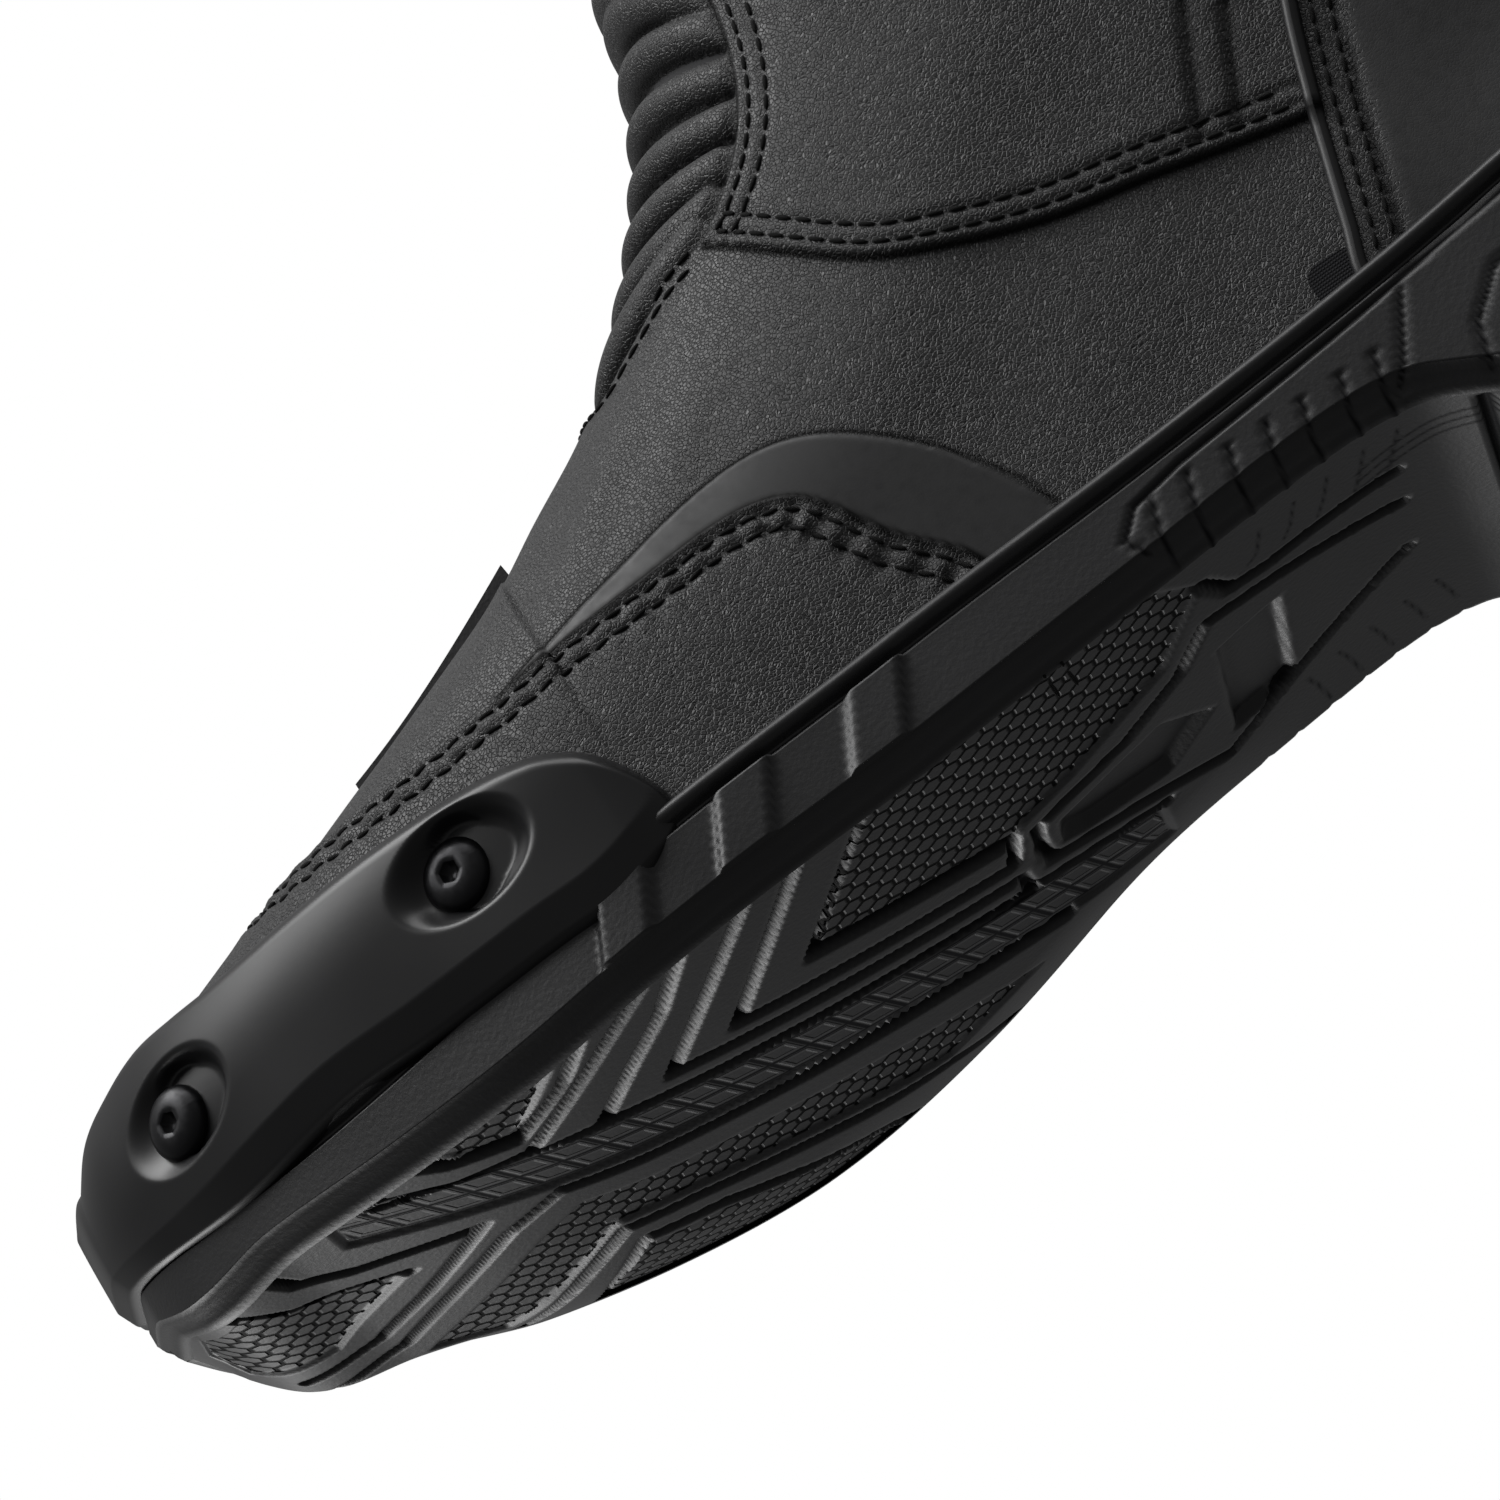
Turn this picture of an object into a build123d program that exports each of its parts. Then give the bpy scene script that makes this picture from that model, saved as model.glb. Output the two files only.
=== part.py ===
"""Left motorcycle touring boot, with its sole unit, upper, toe slider, zip and hinged shaft.

Millimetres. +X is the toe, +Y the outer (lateral) side, +Z up. The boot stands on z = 0.
The upper is a set of skins: SURFACE(d) is the boot's outer surface moved out by d, and each piece is the
space between two such surfaces, cut to its outline in side view.
"""
import math
import os
from build123d import *

os.makedirs("parts", exist_ok=True)

# ---- driving dimensions ----
SOLE_LENGTH = 300.0
SOLE_WIDTH = 106.0
BOOT_HEIGHT = 285.0
LEATHER = 2.0  # upper leather
PADDING = 1.5  # foam, puff and stiffener between leather and lining
LINING = 1.0
OVERLAY = 3.2  # moulded plates on top of the leather
PATCH = 0.7  # hook-and-loop and reflective trim
SLIDER_THICKNESS = 6.0
FEATHER_INSET = 3.5  # the upper stands in from the sole's edge by this much
SOLE_WALL = 5.0  # rubber wall round the midsole
TREAD_THICKNESS = 5.0
BOARD_THICKNESS = 2.0
FOOTBED_THICKNESS = 5.0
SHANK_LENGTH = 92.0
SHANK_WIDTH = 16.0
SHANK_THICKNESS = 1.5
SCREW_HEAD_DIAMETER = 9.5
SCREW_HEAD_HEIGHT = 2.6
SCREW_DIAMETER = 5.0
SCREW_SOCKET = 3.0
THREAD_CLEARANCE = 0.05
POCKET_DIAMETER = 12.0
ZIP_X = 88.0
ZIP_SLOT = 14.0
ZIP_CHAIN = 6.0
ZIP_TAPE = 26.0
ZIP_TAPE_THICKNESS = 0.6
ZIP_BOTTOM = 124.0
ZIP_TOP = 240.0
ZIP_SLIDER_LENGTH = 12.0
ZIP_CLEARANCE = 0.5
FLAP_BOTTOM = 243.0
FLAP_TOP = 263.0
FLAP_FRONT = 121.0
FLAP_REAR = 58.0
COLLAR_BOTTOM = 266.0
COLLAR_BULGE = 2.2
PAD_THICKNESS = 2.5  # gear-shift pad
ANKLE_X = 82.0
ANKLE_Z = 112.0
ANKLE_DISC_DIAMETER = 40.0

# ---- shares of the driving dimensions, with the base sizes that the outlines are drawn at ----
LONG = SOLE_LENGTH / 300
WIDE = SOLE_WIDTH / 106
HIGH = BOOT_HEIGHT / 285
FAR = 400.0  # further than any of the boot


def smooth(points):
    """The smooth curve through the points, as a function of their first number."""
    last = len(points) - 1
    slopes = []
    for i in range(last + 1):
        (x0, y0), (x1, y1) = points[max(i - 1, 0)], points[min(i + 1, last)]
        slopes.append((y1 - y0) / (x1 - x0))

    def value(x):
        x = min(max(x, points[0][0]), points[-1][0])
        i = 0
        while i < last - 1 and x > points[i + 1][0]:
            i += 1
        (x0, y0), (x1, y1) = points[i], points[i + 1]
        h = x1 - x0
        t = (x - x0) / h
        rise = y0 * (1 + 2 * t) * (1 - t) ** 2 + y1 * t * t * (3 - 2 * t)
        return rise + slopes[i] * h * t * (1 - t) ** 2 + slopes[i + 1] * h * t * t * (t - 1)

    return value


def along(points, x_scale=LONG, other_scale=1.0):
    return [(x * x_scale, other * other_scale) for x, other in points]


def eased(a, b, t):
    t = min(max(t, 0.0), 1.0)
    return a + (b - a) * t * t * (3 - 2 * t)


# ---- the sole's plan outline and side profile ----
LATERAL = along(
    [(0, 7), (6, 25), (22, 37.5), (50, 42.4), (90, 40.7), (130, 43.4), (170, 49.4), (205, 53.3), (235, 46.5),
     (262, 35.6), (282, 24.5), (295, 11.5), (300, -6)], LONG, WIDE)
MEDIAL = along(
    [(0, -2), (6, -22.5), (22, -37.2), (50, -40.5), (85, -34.8), (115, -31.4), (150, -35), (185, -47.5),
     (215, -52.4), (240, -46.7), (265, -40.2), (284, -33.4), (296, -21), (300, -8)], LONG, WIDE)
lateral_edge = smooth(LATERAL)
medial_edge = smooth(MEDIAL)
HEEL_BREAST = 78.0 * LONG
ARCH_START = 96.0 * LONG
SOLE_TOP = along(
    [(-40, 34), (0, 34), (50, 33), (100, 28.4), (150, 23.1), (200, 17.2), (235, 15.6), (255, 16.3), (275, 18.9),
     (290, 22.9), (300, 27), (330, 38)])
FOREFOOT_BOTTOM = along(
    [(140, 8.1), (175, 3.4), (200, 1.0), (220, 0.3), (238, 0.6), (255, 2.7), (275, 6.6), (290, 8.9), (300, 17.2)])
sole_top = smooth(SOLE_TOP)

# ---- the upper's side view: the ridge from toe to ankle, then the shaft's front and back ----
RIDGE = along(
    [(296.5, 37), (291, 43), (285, 46.5), (278, 49.5), (261, 54.5), (235, 62), (213.5, 70.5), (191, 84),
     (174, 98.5), (162, 114), (153.5, 131), (149.5, 150)])
SHAFT_START = 150.0
shaft_front = smooth([(150, 149.5 * LONG), (175, 147 * LONG), (200, 147 * LONG), (225, 149 * LONG), (300, 156 * LONG)])
shaft_back = smooth([(-70, 3.5), (45, 3.5), (60, 3), (90, 8), (120, 20), (150, 26), (200, 20), (240, 13), (300, 7)])
ridge_height = smooth(sorted(RIDGE[:9]))
shaft_lateral_wall = smooth([(100, 41 * WIDE), (150, 42 * WIDE), (200, 43.5 * WIDE), (300, 48 * WIDE)])
shaft_medial_wall = smooth([(100, -38 * WIDE), (300, -46 * WIDE)])
ROUNDNESS = 2.3  # exponent of the superellipse that closes the section over the instep and behind the heel
TOE_WALL = 26.0  # the toe box's side is upright to this height
HEEL_REACH = 50.0  # the heel's round end is this long
TOE_TURN = 40.0  # over this length at the toe the skins step from sideways to forwards
PIVOT = (205.0 * LONG, 150.0)  # the sections between instep and ankle fan out from here
SECTION_FLOOR = -60.0
CENTRE_SEAM = 5.0  # the shaft's front and back seams lie this far to the outer side of the middle


def wall(x, z, side, d):
    """The side wall's y at (x, z), before the section closes over the top or behind the heel."""
    middle = SOLE_LENGTH / 2
    if x > middle:
        x = middle + (x - middle) * middle / (middle - FEATHER_INSET + d)
    x = max(x, HEEL_REACH * LONG)
    beside = side * (d - FEATHER_INSET) * eased(0, 1, (SOLE_LENGTH - x) / TOE_TURN)
    low = (lateral_edge(x) if side > 0 else medial_edge(x)) + beside
    high = (shaft_lateral_wall(z) if side > 0 else shaft_medial_wall(z)) + side * d
    return eased(low, high, (z - 40) / 80)


def heel_reach(z):
    return HEEL_REACH + 0.1 * max(0.0, min(z, 160.0) - 45)


def half_section(keel, top, dome, side, d):
    """Points of one side of a section, from the ridge down to the keel."""
    length = math.dist(keel, top)
    ux, uz = (top[0] - keel[0]) / length, (top[1] - keel[1]) / length
    top = (top[0] + d * ux, top[1] + d * uz)
    length += d
    dome = min(dome + d, length / 2)
    reach = min(heel_reach(keel[1]), length - dome)
    steps = 6
    spots = []
    for i in range(steps + 1):
        angle = math.radians(90 * (1 - i / steps))
        spots.append((dome * (1 - math.sin(angle) ** (2 / ROUNDNESS)), math.cos(angle) ** (2 / ROUNDNESS)))
    for i in range(1, steps + 1):
        angle = math.radians(90 * i / steps)
        spots.append((length - reach + reach * math.sin(angle) ** (2 / ROUNDNESS), 1.0))
    points = []
    for distance, closing in spots:
        x, z = top[0] - ux * distance, top[1] - uz * distance
        behind = (shaft_back(z) - d + heel_reach(z) - x) / heel_reach(z)
        heel = max((1 - min(max(behind, 0.0), 1.0) ** ROUNDNESS) ** (1 / ROUNDNESS), 0.07)
        middle = (wall(x, z, 1, d) + wall(x, z, -1, d)) / 2 - 1
        points.append((x, middle + (wall(x, z, side, d) - middle) * closing * heel, z))
    return points


def ridge_on_ray(dx, dz):
    """Where the ray from the pivot meets the ridge."""
    for (x0, z0), (x1, z1) in zip(RIDGE, RIDGE[1:]):
        across = dx * (z1 - z0) - dz * (x1 - x0)
        reach = ((x0 - PIVOT[0]) * (z1 - z0) - (z0 - PIVOT[1]) * (x1 - x0)) / across
        share = ((x0 - PIVOT[0]) * dz - (z0 - PIVOT[1]) * dx) / across
        if -1e-6 <= share <= 1 + 1e-6 and reach > 0:
            return PIVOT[0] + reach * dx, PIVOT[1] + reach * dz
    raise ValueError("the ray misses the ridge")


def keel_on_ray(dx, dz):
    """Where the ray from the pivot meets the heel's back, or the sections' floor below the sole."""
    if dz < 0:
        reach = (SECTION_FLOOR - PIVOT[1]) / dz
        if PIVOT[0] + reach * dx >= shaft_back(SECTION_FLOOR):
            return PIVOT[0] + reach * dx, SECTION_FLOOR
    near, far = 0.0, FAR
    for _ in range(40):
        half = (near + far) / 2
        if PIVOT[0] + half * dx > shaft_back(PIVOT[1] + half * dz):
            near = half
        else:
            far = half
    return PIVOT[0] + near * dx, PIVOT[1] + near * dz


def sections(d):
    """Keel point, ridge point and dome depth of each section, from the toe to above the collar."""
    rows = []
    toe_tip = 300 * LONG - FEATHER_INSET + d
    for x in (toe_tip - 1.5, toe_tip - 5, toe_tip - 12, 272 * LONG, 250 * LONG, 227 * LONG):
        height = ridge_height(min(x, RIDGE[0][0]))
        rows.append(((x, SECTION_FLOOR), (x, height), max(height - TOE_WALL, 8.0)))
    for angle in (0, 11, 22, 33, 42, 50, 58, 66, 74, 82, 90):
        dx, dz = -math.sin(math.radians(angle)), -math.cos(math.radians(angle))
        rows.append((keel_on_ray(dx, dz), ridge_on_ray(dx, dz), 53 + 8.5 * angle / 90))
    above = BOOT_HEIGHT + 15 - SHAFT_START
    for share in (0.19, 0.37, 0.56, 0.75, 1.0):
        z = SHAFT_START + share * above
        rows.append(((shaft_back(z), z), (shaft_front(z), z), (shaft_front(z) - shaft_back(z)) / 2))
    return rows


def mean_shares(lines):
    """How far along each point lies, as a share of its line's length, averaged over the lines."""
    total = [0.0] * len(lines[0])
    for points in lines:
        run = [0.0]
        for a, b in zip(points, points[1:]):
            run.append(run[-1] + math.dist(a, b))
        total = [old + here / run[-1] for old, here in zip(total, run)]
    return [share / len(lines) for share in total]


def surface(d):
    """The solid inside the boot's outer surface moved out by d, not yet cut at the sole or the collar."""
    rows = sections(d)
    sides = [[half_section(keel, top, dome, side, d) for keel, top, dome in rows] for side in (1, -1)]
    shares = [mean_shares(lines) for lines in sides]
    wires = []
    for lateral, medial in zip(*sides):
        edges = [Edge.make_spline([Vector(*p) for p in points], parameters=share)
                 for points, share in zip((lateral, medial), shares)]
        wires.append(Wire([edges[0], Edge.make_line(lateral[-1], medial[-1]), edges[1]]))
    return Solid.make_loft(wires)


def prism(*edges, sides="both"):
    """The side-view outline (x, z) made of the given edges, extruded across the boot."""
    face = Face(Wire([e for part in edges for e in part.edges()]))
    if face.normal_at().Y < 0:
        face = -face
    y0 = -FAR / 2 if sides in ("both", "medial") else CENTRE_SEAM
    y1 = FAR / 2 if sides in ("both", "lateral") else CENTRE_SEAM
    return Solid.extrude(face.moved(Location((0, y0, 0))), Vector(0, y1 - y0, 0))


def line(*points):
    """A smooth side-view curve."""
    return Spline(*[(x, 0, z) for x, z in points])


def straight(*points):
    """A broken side-view line."""
    return Polyline(*[(x, 0, z) for x, z in points])


def block(x0, x1, y0, y1, z0, z1):
    return Box(x1 - x0, y1 - y0, z1 - z0).moved(Location(((x0 + x1) / 2, (y0 + y1) / 2, (z0 + z1) / 2)))


# ---- the seams, in side view ----
CORNER_SEAM = along([(150, -20), (153, 23.2), (160.7, 34), (167.5, 44.8), (175.5, 47.6), (190, 46.6), (212, 45.6)])
TOE_SEAM = along([(212, 45.6), (226, 46.9), (242, 50), (256, 56), (262, 66), (264, 90)])
BAND_SEAM = along([(139, -20), (141.5, 24.6), (147.6, 38.4), (155.6, 47.4), (164, 53), (174, 54.4), (190, 51), (212, 45.6)])
INSTEP_SEAM = along([(195, 120), (188, 92), (181.5, 83), (175, 85.2), (166, 88.2), (158, 88.4)])
VAMP_SEAM = along([(158, 88.4), (150.7, 79.1), (142, 70), (132.6, 65), (120, 60.5), (106.6, 57.7), (85, 52.4)])
FLEX_SEAM = along([(158, 88.4), (150, 94), (144.5, 100.6), (140.5, 109.5), (138.2, 119.2), (136.8, 136), (137, 163)])
COUNTER_LOW = along([(95.5, -20), (93.3, 28.3), (90.8, 35.8), (85, 52.4)])
COUNTER_MID = along([(85, 52.4), (79.5, 66), (72, 80), (62, 91), (50, 97)])
COUNTER_BACK = along([(50, 97), (30, 101), (-20, 103)])
REAR_SEAM = along([(50, 97), (46, 118), (44, 143)])
CUFF_REAR = along([(-20, 156), (20, 152), (44, 143)])
CUFF_LATERAL = along([(44, 143), (60, 137.5), (82, 136), (104, 138), (122, 148), (137, 163)])
CUFF_MEDIAL = along([(44, 143), (56, 126), (74, 118.5), (104, 119), (122, 140), (137, 163)])
CUFF_FRONT = along([(137, 163), (150, 169), (210, 172)])
LOW, HIGH_UP, AHEAD, BEHIND = -20.0, BOOT_HEIGHT + 60, 340.0 * LONG, -20.0 * LONG


def toe_region():
    return prism(line(*CORNER_SEAM), line(*TOE_SEAM), straight(TOE_SEAM[-1], (AHEAD, 90), (AHEAD, LOW), CORNER_SEAM[0]))


def band_region():
    return prism(line(*BAND_SEAM), line(*CORNER_SEAM), straight(BAND_SEAM[0], CORNER_SEAM[0]))


def vamp_region():
    loop = [line(*BAND_SEAM), line(*TOE_SEAM), straight(TOE_SEAM[-1], (TOE_SEAM[-1][0], 120), INSTEP_SEAM[0])]
    loop += [line(*INSTEP_SEAM), line(*VAMP_SEAM), line(*COUNTER_LOW), straight(COUNTER_LOW[0], BAND_SEAM[0])]
    return prism(*loop)


def counter_region():
    loop = [line(*COUNTER_LOW), line(*COUNTER_MID), line(*COUNTER_BACK)]
    return prism(*loop, straight(COUNTER_BACK[-1], (BEHIND, LOW), COUNTER_LOW[0]))


def quarter_region(side):
    cuff = CUFF_LATERAL if side == "lateral" else CUFF_MEDIAL
    loop = [line(*VAMP_SEAM), line(*FLEX_SEAM), line(*cuff), line(*REAR_SEAM), line(*COUNTER_MID)]
    return prism(*loop, sides=side)


def front_flex_region():
    loop = [line(*INSTEP_SEAM), line(*FLEX_SEAM), line(*CUFF_FRONT), straight(CUFF_FRONT[-1], INSTEP_SEAM[0])]
    return prism(*loop)


def rear_flex_region():
    return prism(line(*COUNTER_BACK), line(*REAR_SEAM), line(*CUFF_REAR), straight(CUFF_REAR[0], COUNTER_BACK[-1]))


def shaft_region(side, cuff):
    loop = [line(*CUFF_REAR), line(*cuff), line(*CUFF_FRONT)]
    loop.append(straight(CUFF_FRONT[-1], (CUFF_FRONT[-1][0], HIGH_UP), (BEHIND, HIGH_UP), CUFF_REAR[0]))
    return prism(*loop, sides=side)


def below_shaft_region():
    """Everything between the foot linings and the cuff line."""
    loop = [line(*LINING_SEAM), straight(LINING_SEAM[-1], CUFF_FRONT[-1]), line(*CUFF_FRONT), line(*CUFF_LATERAL)]
    return prism(*loop, line(*CUFF_REAR), straight(CUFF_REAR[0], LINING_SEAM[0]))


LINING_SEAM = along([(-20, 82), (40, 81), (90, 72), (125, 74), (160, 90), (210, 130)])
PUFF_BACK = 208.0 * LONG
LINING_SPLIT = 118.0 * LONG
STIFFENER_FRONT = 84.0 * LONG


def sole_profile(bottom_lift, top_drop=0.0):
    """The sole unit's side profile between its tread, raised by bottom_lift, and the feather line."""
    tread = [(x, z + bottom_lift) for x, z in FOREFOOT_BOTTOM]
    heel_front = [(HEEL_BREAST, bottom_lift), (HEEL_BREAST + 9 * LONG, 5.7 + bottom_lift)]
    arch = [(ARCH_START, 10.5 + bottom_lift), (112 * LONG, 11.2 + bottom_lift)]
    low = straight((-12, 9 + bottom_lift), (2 * LONG, 2.2 + bottom_lift), (20 * LONG, bottom_lift), heel_front[0])
    breast = straight(*heel_front, arch[0])
    waist = line(*arch, *tread)
    ahead = (AHEAD, tread[-1][1] + 15)
    top = line(*[(x, z - top_drop) for x, z in SOLE_TOP + [(AHEAD, 44)]])
    back = straight((SOLE_TOP[0][0], SOLE_TOP[0][1] - top_drop), (-12, 9 + bottom_lift))
    return prism(low, breast, waist, straight(tread[-1], ahead, (AHEAD, 44 - top_drop)), top, back)


def plan_outline(inset):
    """The sole's plan outline, moved in."""
    points = LATERAL + MEDIAL[::-1]
    ring = []
    for i, (x, y) in enumerate(points):
        (xa, ya), (xb, yb) = points[i - 1], points[(i + 1) % len(points)]
        size = math.dist((xa, ya), (xb, yb))
        ring.append((x + inset * (yb - ya) / size, y - inset * (xb - xa) / size, 0))
    return Face(Wire([Spline(*ring, periodic=True)]))


def upright(face, z0=-5.0, z1=80.0):
    return Solid.extrude(face.moved(Location((0, 0, z0))), Vector(0, 0, z1 - z0))


def above_sole(lift=0.0):
    points = [(x, z + lift) for x, z in SOLE_TOP + [(AHEAD, 44)]]
    return prism(line(*points), straight(points[-1], (AHEAD, HIGH_UP), (points[0][0], HIGH_UP), points[0]))


def biggest(shape):
    """The piece without any crumb that the cut left."""
    return max(shape.solids(), key=lambda s: s.volume)


# ---- the sole unit ----
def sole_unit():
    """Rubber cup, the foam that fills it, and the shank between foam and board."""
    cup_floor = sole_profile(TREAD_THICKNESS)
    pocket = upright(plan_outline(SOLE_WALL)) & cup_floor
    rubber = (upright(plan_outline(0)) & sole_profile(0)) - pocket
    x0 = 62 * LONG
    middle = x0 + SHANK_LENGTH / 2
    fall = math.degrees(math.atan2(sole_top(x0) - sole_top(x0 + SHANK_LENGTH), SHANK_LENGTH))
    plate = Box(SHANK_LENGTH, SHANK_WIDTH, SHANK_THICKNESS)
    shank = plate.moved(Location((middle, 3.0, sole_top(middle) - 5.0), (0, fall, 0)))
    return biggest(rubber).fix(), biggest(pocket - shank).fix(), shank


# ---- small parts ----
def slider_screw_places():
    """Where the two toe-slider screws go through, as planes whose Z points out of the boot."""
    places = []
    for x, z in ((276.0 * LONG, 30.5), (228.0 * LONG, 27.5)):
        step = 2.0
        slope = (wall(x + step, z, 1, 0) - wall(x - step, z, 1, 0)) / (2 * step)
        outward = Vector(-slope, 1, 0.12).normalized()
        places.append(Plane(origin=(x, wall(x, z, 1, 0), z), x_dir=(0, 0, 1), z_dir=outward))
    return places


def column(radius, z0, z1):
    return Solid.make_cylinder(radius, z1 - z0, Plane((0, 0, z0)))


def screw_set(place, seat):
    """Screw, threaded insert, and the room that the slider leaves for the head."""
    shank_bottom = -LEATHER - PADDING + 0.1
    head = column(SCREW_HEAD_DIAMETER / 2, seat, seat + SCREW_HEAD_HEIGHT)
    top_edge = head.edges().sort_by(Axis.Z)[-1:]
    head = head.fillet(SCREW_HEAD_HEIGHT * 0.6, top_edge)
    corner = SCREW_SOCKET / math.sqrt(3)
    hexagon = Wire.make_polygon([
        (corner * math.cos(math.radians(60 * k)), corner * math.sin(math.radians(60 * k)),
         seat + SCREW_HEAD_HEIGHT - 1.6) for k in range(6)])
    socket = Solid.extrude(Face(hexagon), Vector(0, 0, 3))
    screw = (head + column(SCREW_DIAMETER / 2, shank_bottom, seat)) - socket
    bore = column(SCREW_DIAMETER / 2 + THREAD_CLEARANCE, -LEATHER - PADDING - 5, seat)
    insert = column(3.6, -LEATHER - 0.2, -0.3) + column(5.5, -LEATHER - 1.2, -LEATHER - 0.2)
    room = column(POCKET_DIAMETER / 2, seat, seat + 20)
    return [place.location * shape for shape in (biggest(screw), insert - bore, room, bore)]


def zip_line_y(z):
    return shaft_medial_wall(z)


ZIP_TILT = math.degrees(math.atan2(-(zip_line_y(ZIP_TOP) - zip_line_y(ZIP_BOTTOM)), ZIP_TOP - ZIP_BOTTOM))
ZIP_PLANE = Plane(origin=(ZIP_X * LONG, zip_line_y(ZIP_TOP), ZIP_TOP), x_dir=(1, 0, 0),
                  z_dir=(0, -math.cos(math.radians(ZIP_TILT)), -math.sin(math.radians(ZIP_TILT))))


def on_zip(shape):
    """From the zip's own frame, X forward along the boot, Y up the zip or down, Z out, to the boot."""
    return ZIP_PLANE.location * shape


def zip_slider_parts():
    """The slider at the top of its travel, with its pull hanging down from the bridge."""
    half = ZIP_SLIDER_LENGTH / 2
    up = 1.0 if ZIP_PLANE.y_dir.Z > 0 else -1.0
    centre = -up * (half + 3)
    width = ZIP_CHAIN + 2 * (ZIP_CLEARANCE + 1.0)
    plate = Box(width, ZIP_SLIDER_LENGTH, 1.4).moved(Location((0, centre, ZIP_CLEARANCE + 0.7)))
    plate = plate.fillet(2.0, plate.edges().filter_by(Axis.Z))
    wing = Box(1.0, ZIP_SLIDER_LENGTH - 4.5, 1.9)
    wings = [wing.moved(Location((s * (width / 2 - 0.5), centre, ZIP_CLEARANCE - 0.9))) for s in (-1, 1)]
    eye_z = ZIP_CLEARANCE + 1.4 + 1.3
    post = Box(1.6, 5.0, 2.6).moved(Location((0, centre, eye_z)))
    pin = Solid.make_cylinder(0.45, 5.6, Plane((-2.8, centre, eye_z), z_dir=(1, 0, 0)))
    body = plate + wings + post - Solid.make_cylinder(0.52, 20, Plane((-10, centre, eye_z), z_dir=(1, 0, 0)))
    reach = 24.0
    cheek = Box(1.2, 4.2, 1.9)
    cheeks = [cheek.moved(Location((s * 2.0, centre - up * 1.2, eye_z + 0.1))) for s in (-1, 1)]
    tab = Box(7.0, reach, 1.3).moved(Location((0, centre - up * (reach / 2 + 3.2), eye_z + 0.4)))
    tab = tab.fillet(2.2, tab.edges().filter_by(Axis.Z))
    pull = tab + cheeks + pin
    hinge = ZIP_PLANE.location * Location((0, centre, eye_z))
    return on_zip(body), on_zip(pull), hinge.position


def pull_loop(keep_out):
    x, z = shaft_back(268.0 * HIGH) - COLLAR_BULGE + 1.0, 268.0 * HIGH
    ring = column(12.0, -8, 8) - column(10.6, -9, 9)
    ring = Plane(origin=(x, 0, z), x_dir=(1, 0, 0), z_dir=(0, -1, 0)).location * ring
    return biggest(ring - keep_out)


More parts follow.
